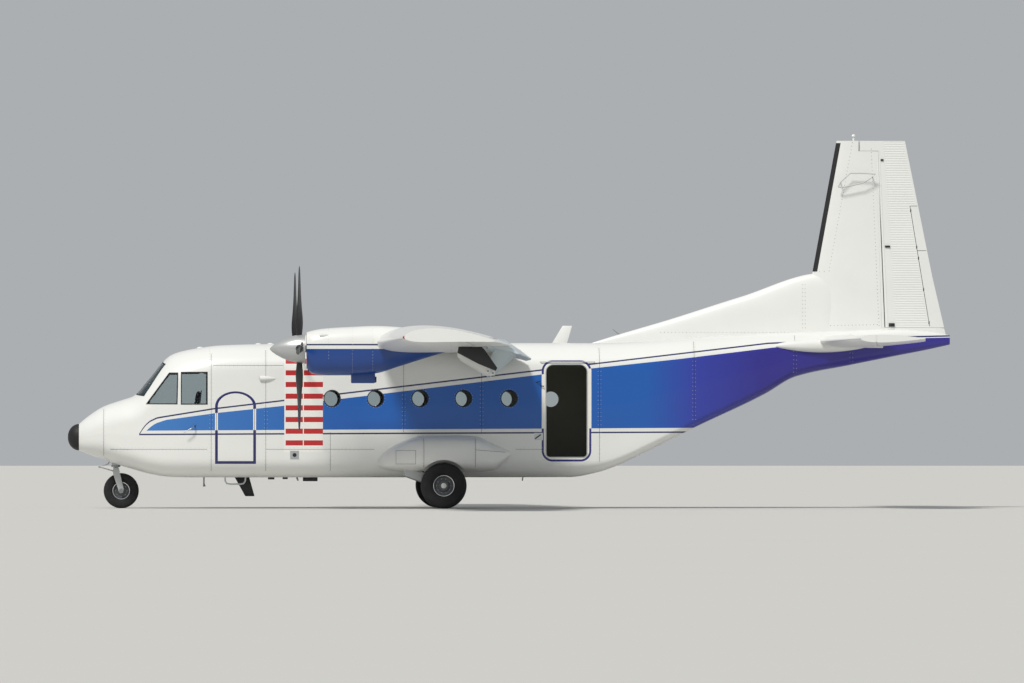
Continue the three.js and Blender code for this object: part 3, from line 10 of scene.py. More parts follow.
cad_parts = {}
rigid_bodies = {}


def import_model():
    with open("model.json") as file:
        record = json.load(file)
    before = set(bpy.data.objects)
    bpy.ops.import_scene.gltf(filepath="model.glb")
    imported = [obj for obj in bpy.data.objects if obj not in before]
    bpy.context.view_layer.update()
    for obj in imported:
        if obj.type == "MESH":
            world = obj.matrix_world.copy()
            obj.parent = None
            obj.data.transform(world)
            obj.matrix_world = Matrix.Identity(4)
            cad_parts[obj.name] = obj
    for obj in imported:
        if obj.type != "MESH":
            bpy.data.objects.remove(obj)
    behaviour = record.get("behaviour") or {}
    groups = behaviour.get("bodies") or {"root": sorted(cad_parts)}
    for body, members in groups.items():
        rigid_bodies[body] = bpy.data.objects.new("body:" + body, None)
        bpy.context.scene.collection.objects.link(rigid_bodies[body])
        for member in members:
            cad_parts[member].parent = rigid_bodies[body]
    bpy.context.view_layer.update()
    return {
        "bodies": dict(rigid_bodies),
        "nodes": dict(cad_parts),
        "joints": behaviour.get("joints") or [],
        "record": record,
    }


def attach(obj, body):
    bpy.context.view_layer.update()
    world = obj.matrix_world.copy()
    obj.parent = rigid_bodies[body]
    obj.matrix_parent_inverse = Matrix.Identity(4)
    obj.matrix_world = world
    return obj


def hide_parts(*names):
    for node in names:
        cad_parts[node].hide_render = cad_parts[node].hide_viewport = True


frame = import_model()

MM = 0.001
SEAT_GAP = 0.3
OVERSHOOT = 60
BEVEL_ANGLE = 35
SMOOTH_ANGLE = 32
THIN_ANGLE = 25
SIDES = (("left", -1), ("right", 1))

# Fuselage sections, front to rear
HULL = (
    # x, low, high, half width, tuck, low corner wide, tall, high corner wide, tall
    (-7390, 991, 1446, 235, 4, 215, 205, 215, 205),
    (-7230, 925, 1580, 420, 8, 360, 260, 380, 290),
    (-6963, 837, 1747, 640, 14, 500, 330, 520, 360),
    (-6667, 729, 1850, 810, 20, 500, 330, 600, 400),
    (-6447, 665, 1925, 900, 24, 480, 330, 640, 440),
    (-6207, 597, 2190, 980, 28, 460, 320, 650, 520),
    (-5812, 537, 2623, 1080, 30, 430, 330, 640, 540),
    (-5616, 532, 2690, 1112, 30, 420, 330, 620, 520),
    (-5314, 530, 2745, 1140, 30, 410, 330, 590, 480),
    (-4981, 530, 2786, 1150, 30, 400, 330, 570, 460),
    (-4284, 530, 2808, 1150, 30, 400, 330, 560, 450),
    (-1880, 530, 2829, 1150, 30, 400, 330, 560, 450),
    (1000, 535, 2829, 1150, 30, 380, 310, 560, 450),
    (1494, 622, 2828, 1148, 30, 300, 200, 560, 450),
    (1714, 695, 2832, 1146, 28, 270, 170, 555, 445),
    (2327, 976, 2865, 1132, 24, 250, 150, 545, 430),
    (3115, 1371, 2925, 1075, 20, 240, 150, 520, 400),
    (4368, 1965, 2995, 925, 14, 240, 150, 470, 340),
    (4859, 2245, 3018, 845, 10, 230, 140, 440, 310),
    (5840, 2456, 3053, 640, 6, 220, 140, 370, 240),
    (6607, 2609, 3080, 440, 4, 190, 120, 280, 180),
    (7158, 2717, 3040, 260, 3, 120, 90, 170, 130),
    (7581, 2810, 2975, 110, 2, 55, 45, 70, 60),
)
CREASE_SHARE = 0.53
WALL = 80
REAR_WALL = 45
CAP_REAR = -7390
NOSE_TIP = -7581
CAP_ROUND = 0.985
NOSE_JOINT = -6963
HOLLOW_FRONT = -6560
COCKPIT_REAR = -4200
CABIN_REAR = 1494
HOLLOW_REAR = 7000
TAIL_TIP = 7581
FLOOR_TOP = 880

SIDE_WINDOWS = (
    ((-6222, 1790), (-5840, 2304), (-5706, 2304), (-5718, 1790)),
    ((-5632, 1786), (-5632, 2316), (-5205, 2316), (-5205, 1786)),
)
SCREEN_PANE = ((28, 1990), (805, 1932), (757, 2455), (28, 2545))
SIDE_GLASS = ((-6246, 1774), (-5846, 2318), (-5193, 2328), (-5193, 1774))
SCREEN_GLASS = ((-820, 1915), (0, 1975), (820, 1915), (770, 2470), (0, 2560), (-770, 2470))
GLASS_SEAL = Sizes(wide=15, lap=3, proud=2.5, sunk=2)
SCREEN_FRONT = -6620
SCREEN_REAR = -5770
WINDOW_PLACES = (-3070, -2330, -1570, -830, -50)
STARBOARD_WINDOW = 760
WINDOW_HEIGHT = 1877
WINDOW_RADIUS = 135
ROUND_WINDOWS = [(x, side) for x in WINDOW_PLACES for _, side in SIDES] + [(STARBOARD_WINDOW, 1)]
WINDOW_SEAL = Sizes(wide=12, lap=2, proud=3.5, sunk=2)
WINDOW_PANE = Sizes(outer=22, inner=29, gap=0.4)
WINDOW_RIVETS = Sizes(away=26, pitch=46, head=5)
RIVET_SUNK = 2.5
DOOR = Sizes(front=-5040, rear=-4390, low=785, spring=1740, rise=240, draft=14, inner_draft=56,
             inner_reach=700)
ARCH_POINTS = 33
CORNER_STEPS = 8
SIDE_CUT = (900, 1300)
COCKPIT_SIDE_CUT = (350, 1300)
REAR_DOOR = {"front": 584, "rear": 1276, "low": 879, "high": 2450, "low_radius": 60, "high_radius": 120}
RAMP = Sizes(front=1504, rear=3107, half=850, front_thick=150, opening_front=1489, opening_top=2420)
UNDER_HULL = 300
UPPER_DOOR = Sizes(front=3119, rear=4700, front_half=850, rear_half=700, thick=80, plan_top=2600)
JOINT_LEAN = 0.72
MOVE_GAP = 7

# Wing
HALF_SPAN = 9500
CENTRE_HALF_SPAN = 3200
ROOT_WING = {"front": -2345, "chord": 2500, "thick": 0.18}
TIP_WING = {"front": -2060, "chord": 1486, "thick": 0.15}
WING_HEIGHT = 2815
INCIDENCE = math.radians(2.8)
CAMBER = 0.04
FLAP_DROOP = math.radians(16)
INNER_FLAP = Sizes(start=1210, end=3180, slant_from=-485, slant_to=-485, brackets=(1420, 2980))
OUTER_FLAP = Sizes(start=3215, end=6150, slant_from=-500, slant_to=-690, brackets=(3420, 5960))
SLANT_HEIGHT = 2760
FLAP_GAP = 11
FLAP_RELIEF = 25
FLAP_PIVOTS = ((-400, 2290), (-600, 2300))
AILERON = Sizes(start=6240, end=9200, hinge_from=-745, hinge_to=-1035)
AILERON_END_GAP = 12
CENTRE_EDGE = 1185
HANGER = Sizes(plate_thick=24, arm_near=-31, arm_far=-7, pin_half=48, pin_radius=16)

# Power
PROPELLER = Sizes(x=-3650, y=2635, z=2704, radius=1395, blades=4)
SPINNER = Sizes(front=-4150, rear=-3552, radius=245, bore=118, hole_reach=(118, 305), hole_radius=66)
NACELLE = (
    # x, low, high, half width
    (-3530, 2372, 2985, 275),
    (-3440, 2285, 3012, 330),
    (-3250, 2257, 3045, 352),
    (-2800, 2257, 3075, 360),
    (-2370, 2290, 3092, 350),
    (-1950, 2415, 3072, 325),
    (-1490, 2560, 2900, 270),
    (-1180, 2650, 2800, 200),
)
NACELLE_SQUARE = 2.8
ENGINE_BAY = Sizes(front=-3490, rear=-2380, radius=262)
MOUTH = Sizes(front=-3700, rear=-3470, radius=150)
ENGINE = Sizes(face=-3551.7, step=-3440, shaft=60, radius=240)
AXIS_RADIUS = 0.01
BLADE = (
    # radius, chord, thickness, twist in degrees from the plane of rotation
    (90, 80, 76, 60),
    (250, 110, 62, 54),
    (430, 180, 40, 42),
    (700, 225, 28, 22),
    (1000, 225, 21, 13),
    (1300, 190, 14, 9),
    (1395, 110, 7, 8),
)
BLADE_TIP = Sizes(start=1340, end=1395, narrowing=0.75)
HUB = Sizes(front=-3760, rear=-3552, radius=115, edge=8, edge_in=7)

# Tail
FIN = (
    # z, front, rear, thickness share
    (2800, 4980, 7562, 0.1),
    (3989, 5208, 7286, 0.1),
    (6320, 5636, 6817, 0.09),
)
DORSAL = (
    # x, top, half width at the foot
    (1406, 2836, 20),
    (1756, 2947, 60),
    (2721, 3232, 95),
    (3983, 3634, 120),
    (5400, 4045, 125),
    (5800, 3960, 55),
)
DORSAL_POWER = 0.45
FIN_BOOT = Sizes(start=4070, end=6283, long=80, proud=2.0)
RUDDER_HINGE = ((3110, 6519, 103), (6150, 6375, 48))
RUDDER_HORN = Sizes(front=6034, low=6150)
FIN_TOP = 6320
RUDDER_FOOT = 3110
TAIL = (
    # y, front, rear, thickness share
    (200, 5202, 7150, 0.12),
    (400, 5228, 7134, 0.12),
    (4200, 5726, 6808, 0.12),
)
TAIL_HEIGHT = 2865
ELEVATOR = Sizes(start=575, end=4190, hinge=((400, 6361), (4200, 6018)))

# Undercarriage
SPONSON = (
    # x, low, high, outer edge
    (-2290, 730, 830, 1180),
    (-2200, 672, 960, 1330),
    (-1950, 630, 1120, 1530),
    (-1500, 622, 1245, 1700),
    (-1000, 618, 1250, 1715),
    (-650, 618, 1238, 1640),
    (-330, 640, 1110, 1440),
    (-150, 770, 1030, 1310),
    (-30, 890, 975, 1200),
)
SPONSON_ROOT = 900
SPONSON_SQUARE = 3
ARCH_RADIUS = 440
ARCH_INNER = 1375
MAIN = Sizes(x=-1181, y=1550, z=389.5, radius=392, width=280, rim=182)
NOSE = Sizes(x=-6667, y=0, z=300.1, radius=302, width=200, rim=150)
TYRE_SHAPE = (
    # share of the wall's height, share of the half width, from the rim to the middle of the tread
    (0.0, 0.74), (0.05, 0.8), (0.12, 0.9), (0.3, 0.97), (0.5, 1.0), (0.65, 1.0), (0.8, 0.94), (0.9, 0.82),
    (0.955, 0.66), (0.985, 0.46), (0.99, 0.36), (0.955, 0.345), (0.955, 0.3), (0.99, 0.285), (0.998, 0.14),
    (0.96, 0.125), (0.96, 0.0),
)
STEERING_X = -6760
LEG_BOTTOM = 705
FORK_CROWN = 630
AXLE_RADIUS = 38
NOSE_LEG = Sizes(inner=46, outer=72, tall=415)
NOSE_FORK = Sizes(side_gap=14, leg_thick=30, crown_tall=65, piston_radius=44, piston_top=950)
MAIN_LEG = Sizes(inner=1265, outer=1360, strut_y=1310, strut_radius=45, axle=(1300, 1650))


# Numbers and tables

def between(first, last, share):
    """The value at a share of the way from the first to the last."""
    return first + (last - first) * share


def smooth_rows(table, places):
    """Rows of a table at any places in its first column, along a cubic that never overshoots."""
    rows = np.array(table, float)
    keys = rows[:, 0]
    steps = np.diff(keys)[:, None]
    slopes = np.diff(rows, axis=0) / steps
    tangents = np.zeros_like(rows)
    tangents[0], tangents[-1] = slopes[0], slopes[-1]
    before, after = slopes[:-1], slopes[1:]
    rising = before * after > 0
    weight_a = 2 * steps[1:] + steps[:-1]
    weight_b = steps[1:] + 2 * steps[:-1]
    with np.errstate(divide="ignore", invalid="ignore"):
        mean = (weight_a + weight_b) / (weight_a / before + weight_b / after)
    tangents[1:-1] = np.where(rising, mean, 0)
    places = np.atleast_1d(np.array(places, float))
    index = np.clip(np.searchsorted(keys, places, side="right") - 1, 0, len(keys) - 2)
    length = steps[index]
    t = (places[:, None] - keys[index][:, None]) / length
    a, b = rows[index], rows[index + 1]
    da, db = tangents[index] * length, tangents[index + 1] * length
    result = ((2 * t**3 - 3 * t**2 + 1) * a + (t**3 - 2 * t**2 + t) * da
              + (3 * t**2 - 2 * t**3) * b + (t**3 - t**2) * db)
    result[:, 0] = places
    return result


def straight_row(table, place):
    """A row of a table at one place, along straight lines."""
    rows = np.array(table, float)
    return np.array([np.interp(place, rows[:, 0], rows[:, k]) for k in range(rows.shape[1])])


def spread(start, end, step):
    """Evenly spaced places from start to end, about a step apart."""
    count = max(2, int(round(abs(end - start) / step)) + 1)
    return np.linspace(start, end, count)


# Materials

def linear(code):
    """An sRGB hex colour as a linear colour with full alpha."""
    channels = [int(code[k:k + 2], 16) / 255 for k in (1, 3, 5)]
    return (*[c / 12.92 if c <= 0.04045 else ((c + 0.055) / 1.055) ** 2.4 for c in channels], 1)


def add_node(tree, kind, inputs=None, **settings):
    """Adds a node. Its inputs, by name or number, are values or the outputs of other nodes."""
    node = tree.nodes.new(kind)
    for name, value in settings.items():
        setattr(node, name, value)
    for name, value in (inputs or {}).items():
        if isinstance(value, bpy.types.NodeSocket):
            tree.links.new(value, node.inputs[name])
        else:
            node.inputs[name].default_value = value
    return node


class Field:
    """A number that varies over a surface. Sums and tests on it add math nodes, and a test gives 0 or 1."""

    def __init__(self, tree, socket):
        self.tree = tree
        self.socket = socket

    def step(self, operation, *others):
        values = [getattr(value, "socket", value) for value in (self, *others)]
        node = add_node(self.tree, "ShaderNodeMath", dict(enumerate(values)), operation=operation)
        return Field(self.tree, node.outputs[0])

    def __add__(self, other):
        return self.step("ADD", other)

    def __sub__(self, other):
        return self.step("SUBTRACT", other)

    def __mul__(self, other):
        return self.step("MULTIPLY", other)

    def __lt__(self, other):
        return self.step("LESS_THAN", other)

    def __gt__(self, other):
        return self.step("GREATER_THAN", other)

    def near(self, middle, reach):
        return self.step("COMPARE", middle, reach)

    def within(self, low, high):
        """1 between two places that are given in millimetres."""
        return self.near((low + high) / 2 * MM, (high - low) / 2 * MM)


def mixed(share, first, last):
    """One colour over another, by a share from 0 to 1."""
    inputs = {0: share.socket, 6: first, 7: last}
    return add_node(share.tree, "ShaderNodeMix", inputs, data_type="RGBA").outputs[2]


def per_metre(size):
    """A texture scale whose pattern is about this many millimetres across."""
    return 1000 / size


def new_material(name, roughness=0.5, metallic=0.0, **extra):
    material = bpy.data.materials.new(name)
    material.use_nodes = True
    surface = material.node_tree.nodes["Principled BSDF"]
    surface.inputs["Roughness"].default_value = roughness
    surface.inputs["Metallic"].default_value = metallic
    for key, value in extra.items():
        surface.inputs[key.replace("_", " ")].default_value = value
    return material


def object_place(tree):
    return add_node(tree, "ShaderNodeTexCoord").outputs["Object"]


def place_fields(tree):
    """The x, y and z of a place on the surface, in metres."""
    parts = add_node(tree, "ShaderNodeSeparateXYZ", {0: object_place(tree)})
    return [Field(tree, part) for part in parts.outputs]


def finished(material, colour, patch=600, patch_depth=0.06, grain=3, grain_depth=0.05, rough_swing=0.12):
    """Gives a material its colour with soft patches of wear, a fine surface grain and uneven gloss."""
    tree = material.node_tree
    surface = tree.nodes["Principled BSDF"]
    place = object_place(tree)
    patches = add_node(tree, "ShaderNodeTexNoise", {"Vector": place, "Scale": per_metre(patch), "Detail": 4})
    grains = add_node(tree, "ShaderNodeTexNoise", {"Vector": place, "Scale": per_metre(grain), "Detail": 2})
    wear = Field(tree, patches.outputs["Fac"])
    darker = wear * (-2 * patch_depth) + (1 + patch_depth)
    shade = add_node(tree, "ShaderNodeVectorMath", {0: colour, "Scale": darker.socket}, operation="SCALE")
    rough = surface.inputs["Roughness"].default_value
    swing = wear * rough_swing + (rough - rough_swing / 2)
    bump = add_node(tree, "ShaderNodeBump", {
        "Strength": grain_depth, "Distance": grain * MM, "Height": grains.outputs["Fac"]})
    tree.links.new(shade.outputs[0], surface.inputs["Base Color"])
    tree.links.new(swing.socket, surface.inputs["Roughness"])
    tree.links.new(bump.outputs[0], surface.inputs["Normal"])
    return material


def plain(name, code, roughness=0.5, metallic=0.0, patch=300, patch_depth=0.06, grain=2, grain_depth=0.04,
          **extra):
    material = new_material(name, roughness, metallic, **extra)
    return finished(material, linear(code)[:3], patch, patch_depth, grain, grain_depth)


# The painted bands, as heights along the length
BAND_FROM, BAND_TO = -7600, 7600
BAND_TALL = 4000
TOP_LINE = ((-6357, 1262), (-6270, 1400), (-6187, 1480), (-6050, 1545), (-5096, 1699), (4394, 2823),
            (5400, 2868), (6400, 2930), (7581, 2962))
FILL_TOP = ((-6230, 1327), (-6160, 1395), (-6080, 1450), (-5897, 1511), (-5028, 1630), (-4295, 1709),
            (-3895, 1751), (1344, 2389), (2861, 2552), (4472, 2750), (5400, 2830), (6400, 2900), (7581, 2935))
FILL_FOOT = ((-6230, 1327), (1498, 1368), (7581, 1400))
LOW_LINE = ((-6357, 1262), (2895, 1303), (7581, 1310))
LOW_LINE_END = 3200
LINE_WIDE = 26
# The band's blues along the length. The paint fades from blue to purple towards the tail; the lighter stops
# at the nose are painted sunlight, the dark purple stops at the tail painted shade.
BLUES_WITH_PAINTED_LIGHT = ((-6300, "#3b78bd"), (-4300, "#2a6bb8"), (-3000, "#0f5bb0"), (2300, "#0a57ac"), (3100, "#2a3aa2"),
         (4300, "#2a2488"), (7581, "#332a92"))
WHITE = "#e4e5e2"
NAVY = "#232a5c"
DOOR_NAVY = "#262a72"
DOOR_WHITE = "#eceae4"
FRAME_WHITE = "#e8e6df"
STRIPE_PANEL = Sizes(front=-3884, seam=-3560, rear=-3226, low=963, high=2560, edge=22, seam_half=8,
                     code="#ecebe6")
STRIPE_RED = Sizes(first=1075, tall=88, pitch=199, code="#b81f22")
DOOR_LINE = 48
REAR_FRAME = Sizes(white=42, navy=78, corner=105)
# The cowlings' lower blue is darkened to the tone of their shaded underside: painted shade.
COWLING_PAINT_AND_SHADE = Sizes(blue_top=2700, line=2772, line_half=13, code="#123f88")


def along_share(x):
    """How far along the painted length a place lies, from 0 to 1."""
    return add_node(x.tree, "ShaderNodeMapRange", {
        "Value": x.socket, "From Min": BAND_FROM * MM, "From Max": BAND_TO * MM, "To Min": 0.0,
        "To Max": 1.0}).outputs[0]


def height_curve(x, points):
    """The height in metres of a line drawn along the side, from its x in metres."""
    curve = add_node(x.tree, "ShaderNodeFloatCurve", {"Value": along_share(x)})
    line = curve.mapping.curves[0]
    shares = [((px - BAND_FROM) / (BAND_TO - BAND_FROM), pz / BAND_TALL) for px, pz in points]
    shares = [(0.0, shares[0][1]), *shares, (1.0, shares[-1][1])]
    while len(line.points) < len(shares):
        line.points.new(0.5, 0.5)
    for point, place in zip(line.points, shares):
        point.location = place
        point.handle_type = "VECTOR"
    curve.mapping.update()
    return Field(x.tree, curve.outputs[0]) * (BAND_TALL * MM)


def lit_and_shaded_blues(x):
    """The band's blue, which turns purple towards the tail. It is lighter near the nose as painted sunlight
    and a darker purple at the tail as painted shade.
    """
    ramp = add_node(x.tree, "ShaderNodeValToRGB", {0: along_share(x)})
    stops = ramp.color_ramp.elements
    while len(stops) < len(BLUES_WITH_PAINTED_LIGHT):
        stops.new(0.5)
    for stop, (px, _) in zip(stops, BLUES_WITH_PAINTED_LIGHT):
        stop.position = (px - BAND_FROM) / (BAND_TO - BAND_FROM)
    for stop, (_, code) in zip(stops, BLUES_WITH_PAINTED_LIGHT):
        stop.color = linear(code)
    return ramp.outputs[0]


def band_mask(x, z):
    """1 inside the wide blue band, 0 outside."""
    return (z < height_curve(x, FILL_TOP)) * (z > height_curve(x, FILL_FOOT)) * (x > FILL_TOP[0][0] * MM)


def line_mask(x, z, points, last=BAND_TO):
    """1 on a thin line that is drawn along the side up to its last x."""
    along = (x > points[0][0] * MM) * (x < last * MM)
    return z.near(height_curve(x, points), LINE_WIDE / 2 * MM) * along


def stripes(x, z, colour):
    """The red and white warning stripes beside the propeller, over a given colour."""
    area = STRIPE_PANEL
    panel = x.within(area.front, area.rear) * z.within(area.low, area.high)
    rise = z - STRIPE_RED.first * MM
    red = rise.step("FLOORED_MODULO", STRIPE_RED.pitch * MM) < STRIPE_RED.tall * MM
    beside = (x > (area.front + area.edge) * MM) * (rise > 0.0)
    seam = x.near(area.seam * MM, area.seam_half * MM)
    over = mixed(red * beside * (seam < 0.5), linear(area.code), linear(STRIPE_RED.code))
    return mixed(panel, colour, over)


def arch_line(x, z):
    """1 on the painted line round the crew door: straight sides under a low arch."""
    half = (DOOR.rear - DOOR.front) / 2
    line_half = DOOR_LINE / 2
    across = (x - (DOOR.front + half) * MM).step("ABSOLUTE")
    tall = (z - DOOR.spring * MM).step("MAXIMUM", 0.0) * (half / DOOR.rise)
    reach = (across * across + tall * tall).step("SQRT")
    line = reach.near(half * MM, line_half * MM) * (z > (DOOR.low - line_half) * MM)
    foot = z.near(DOOR.low * MM, line_half * MM) * (across < (half + line_half) * MM)
    return line.step("MAXIMUM", foot)


def rear_door_distance(x, z):
    """How far a place on the side lies outside the rear door's rounded opening, in metres."""
    beyond = []
    for value, low, high in ((x, "front", "rear"), (z, "low", "high")):
        middle = (REAR_DOOR[low] + REAR_DOOR[high]) / 2
        half = (REAR_DOOR[high] - REAR_DOOR[low]) / 2 - REAR_FRAME.corner
        beyond.append((value - middle * MM).step("ABSOLUTE") - half * MM)
    out = [value.step("MAXIMUM", 0.0) for value in beyond]
    reach = (out[0] * out[0] + out[1] * out[1]).step("SQRT")
    inside = beyond[0].step("MAXIMUM", beyond[1]).step("MINIMUM", 0.0)
    return reach + inside - REAR_FRAME.corner * MM


def door_lines(x, y, z, band, colour):
    """The navy outlines of both port doors, white where they cross the band, over a given colour."""
    port = y < 0.0
    line_colour = mixed(band, linear(DOOR_NAVY), linear(DOOR_WHITE))
    away = rear_door_distance(x, z)
    colour = mixed((away < REAR_FRAME.navy * MM) * port, colour, line_colour)
    colour = mixed((away < REAR_FRAME.white * MM) * port, colour, linear(FRAME_WHITE))
    return mixed(arch_line(x, z) * port, colour, line_colour)


def banded_paint():
    """Satin white polyurethane with the blue bands: clean, slightly chalky, with soft broad highlights."""
    material = new_material("satin white polyurethane with blue bands", 0.34, Coat_Weight=0.25)
    x, y, z = place_fields(material.node_tree)
    band = band_mask(x, z)
    # The band's blue carries painted sunlight at the nose and painted shade at the tail.
    colour = mixed(band, linear(WHITE), lit_and_shaded_blues(x))
    colour = mixed(line_mask(x, z, TOP_LINE), colour, linear(NAVY))
    colour = mixed(line_mask(x, z, LOW_LINE, LOW_LINE_END), colour, linear(NAVY))
    colour = door_lines(x, y, z, band, stripes(x, z, colour))
    return finished(material, colour, patch=900, patch_depth=0.035)


def nacelle_paint():
    """White above and blue below, with a navy pinstripe between, as on the engine cowlings. The blue is
    darkened as painted shade.
    """
    material = new_material("white over shade-darkened blue cowling paint", 0.32, Coat_Weight=0.3)
    z = place_fields(material.node_tree)[2]
    colour = mixed(z < COWLING_PAINT_AND_SHADE.blue_top * MM, linear(WHITE), linear(COWLING_PAINT_AND_SHADE.code))
    line = z.near(COWLING_PAINT_AND_SHADE.line * MM, COWLING_PAINT_AND_SHADE.line_half * MM)
    return finished(material, mixed(line, colour, linear(NAVY)), patch=500, patch_depth=0.08)


BANDED = banded_paint()
COWLING = nacelle_paint()
# Satin white polyurethane: an even off-white, slightly patchy, with fine orange peel.
WHITE_PAINT = plain("satin white polyurethane", WHITE, 0.36, patch=700, patch_depth=0.05, Coat_Weight=0.2)
# The flaps' white paint, drawn light blue-grey: a painted reflection of the sky on a surface in shade.
FLAP_SKY_REFLECTION_PAINT = plain("white flap paint with painted sky reflection", "#c3ced3", 0.4, patch=500)
# Matt black rubber: almost no gloss, a fine grain.
BOOT_RUBBER = plain("matt black de-icing rubber", "#141416", 0.62, grain=3, grain_depth=0.15)
# Black primer at the open ends of panels, which reads as a dark gap.
DARK_GAP = plain("dark sealant", "#24262a", 0.7)
# Light grey enamel on castings and tubes.
LEG_ENAMEL = plain("light grey enamel", "#b9bcbd", 0.35, patch=120, patch_depth=0.1)
# Black matt propeller paint with worn, slightly polished patches. The same black stands for painted shade on
# the hinge plates under the wing and on the belly aerial.
BLACK_PAINT_AND_SHADE = plain("matt black propeller paint", "#1d1e21", 0.42, patch=150, patch_depth=0.15)
# Satin silver paint over aluminium: soft wide reflections, no sparkle.
SPINNER_METAL = plain("satin silver spinner paint", "#b9bbbb", 0.36, 0.45, patch=120, grain=8,
                      grain_depth=0.01)
# Bare steel of pins, rods and bolts.
STEEL = plain("bright machined steel", "#9da0a3", 0.3, 1.0, patch=60)
# Burnt steel: brown-grey heat stain, dull.
EXHAUST_STEEL = plain("heat-stained steel", "#5b4e45", 0.5, 1.0, patch=90, patch_depth=0.3)
# Cast magnesium wheel in a dark grey, and its lighter hub cap.
RIM_METAL = plain("dark grey cast magnesium", "#5b5d60", 0.5, 0.3, patch=70, patch_depth=0.25)
HUB_METAL = plain("pale cast hub", "#d5d6d6", 0.32, 0.3, patch=60)
# Tyre rubber: near black, dull, faint grain.
TYRE_RUBBER = plain("black tyre rubber", "#18181a", 0.82, patch=110, patch_depth=0.25, grain=2,
                    grain_depth=0.2)
# Polished alloy of the wheel's edge ring.
RING_METAL = plain("polished alloy ring", "#d8dadc", 0.2, 1.0, patch=60)
# Brushed aluminium frames, seals in black rubber. The same black stands for painted shade in the open mouths
# of scoops, intakes and exhaust pipes.
FRAME_METAL = plain("brushed aluminium frame", "#c4c8ca", 0.33, 0.9, patch=60)
SEAL_RUBBER_AND_SHADE = plain("black window seal", "#1c1d1f", 0.7, grain=2)
# Zinc-grey rivet heads under the paint, a touch darker than the skin.
RIVET_PAINT = plain("painted rivet heads", "#c2c4c2", 0.4, patch=50)
# Rivet heads on the fin, where dirt and bare metal show.
WORN_RIVETS = plain("worn rivet heads", "#8b8880", 0.5, patch=50)
# Lamp lenses: glossy coloured or frosted glass.
RED_LENS = plain("ruby lamp lens", "#a3141b", 0.15, patch=40, Coat_Weight=0.8)
GREEN_LENS = plain("green lamp lens", "#1d7a4c", 0.15, patch=40, Coat_Weight=0.8)
CLEAR_LENS = plain("frosted lamp lens", "#dfe2e0", 0.2, patch=40, Coat_Weight=0.8)
# Cabin lining: pale grey-beige padded vinyl, dull.
LINER = plain("pale grey vinyl lining", "#a5a598", 0.75, grain=2, grain_depth=0.15)
# Floor panels: grey, scuffed unevenly by boots and freight.
FLOOR_PANEL = plain("worn grey floor panel", "#5f6364", 0.6, patch=250, patch_depth=0.2)
# Crackle enamel: black, matt and rough to the eye.
PANEL_BLACK = plain("matt black crackle enamel", "#26282b", 0.65, grain=1.5, grain_depth=0.25)
# Wool and nylon cloth: no shine, a grain drawn coarse enough to show.
SEAT_CLOTH = plain("grey-blue wool cloth", "#4b5563", 0.9, patch=60, grain=1.5, grain_depth=0.4)
BENCH_CLOTH = plain("red nylon webbing", "#7e231f", 0.85, patch=60, grain=2.5, grain_depth=0.4)


def glass(name, code):
    """Clear acrylic that lets light through, with a weak tint."""
    material = new_material(name, 0.02, Transmission_Weight=1.0, IOR=1.2)
    tree = material.node_tree
    surface = tree.nodes["Principled BSDF"]
    waves = add_node(tree, "ShaderNodeTexNoise", {
        "Vector": object_place(tree), "Scale": per_metre(260), "Detail": 1})
    bump = add_node(tree, "ShaderNodeBump", {
        "Strength": 0.04, "Distance": 0.004, "Height": waves.outputs["Fac"]})
    surface.inputs["Base Color"].default_value = linear(code)
    tree.links.new(bump.outputs[0], surface.inputs["Normal"])
    return material


SCREEN_ACRYLIC = glass("blue-green tinted windscreen glass", "#7f9ba3")
WINDOW_ACRYLIC = glass("clear window acrylic", "#dfe6e6")


# Mesh building

def as_object(name, points, faces, *materials, face_paints=None, edges=()):
    """An object from points in millimetres and faces, with each face's material slot if given."""
    mesh = bpy.data.meshes.new(name)
    places = (np.array(points, float) * MM).tolist()
    mesh.from_pydata(places, list(edges), [tuple(map(int, face)) for face in faces])
    for material in materials:
        mesh.materials.append(material)
    if face_paints is not None:
        mesh.polygons.foreach_set("material_index", face_paints)
    obj = bpy.data.objects.new(name, mesh)
    bpy.context.scene.collection.objects.link(obj)
    return obj


def loft(rings, closed=True):
    """Points and faces of a body through rings of points. Its ends are closed with flat faces."""
    rings = np.array(rings, float)
    rows, count = rings.shape[:2]
    index = np.arange(rows * count).reshape(rows, count)
    beside = np.roll(index, -1, axis=1)
    quads = np.stack([index[:-1], beside[:-1], beside[1:], index[1:]], axis=-1).reshape(-1, 4)
    faces = quads.tolist()
    if closed:
        faces.append(index[0][::-1].tolist())
        faces.append(index[-1].tolist())
    return rings.reshape(-1, 3), faces


def looped(rings):
    """Points and faces of a body through rings of points that lead back to the first ring."""
    rings = np.array(rings, float)
    points, faces = loft(np.concatenate([rings, rings[:1]]), closed=False)
    count = rings.shape[0] * rings.shape[1]
    return points[:count], [[corner % count for corner in face] for face in faces]


def together(*bodies):
    """Several bodies of points and faces as one."""
    points, faces, first = [], [], 0
    for body_points, body_faces in bodies:
        points.append(np.array(body_points, float))
        faces += [[corner + first for corner in face] for face in body_faces]
        first += len(body_points)
    return np.concatenate(points), faces


def outward(obj):
    """Turns all the faces of closed bodies outward."""
    work = bmesh.new()
    work.from_mesh(obj.data)
    bmesh.ops.recalc_face_normals(work, faces=work.faces)
    work.to_mesh(obj.data)
    work.free()
    return obj


def settled(obj):
    """Replaces an object's mesh by what its modifiers make of it."""
    depsgraph = bpy.context.evaluated_depsgraph_get()
    mesh = bpy.data.meshes.new_from_object(obj.evaluated_get(depsgraph), depsgraph=depsgraph)
    obj.modifiers.clear()
    old = obj.data
    obj.data = mesh
    mesh.name = old.name
    bpy.data.meshes.remove(old)
    return obj


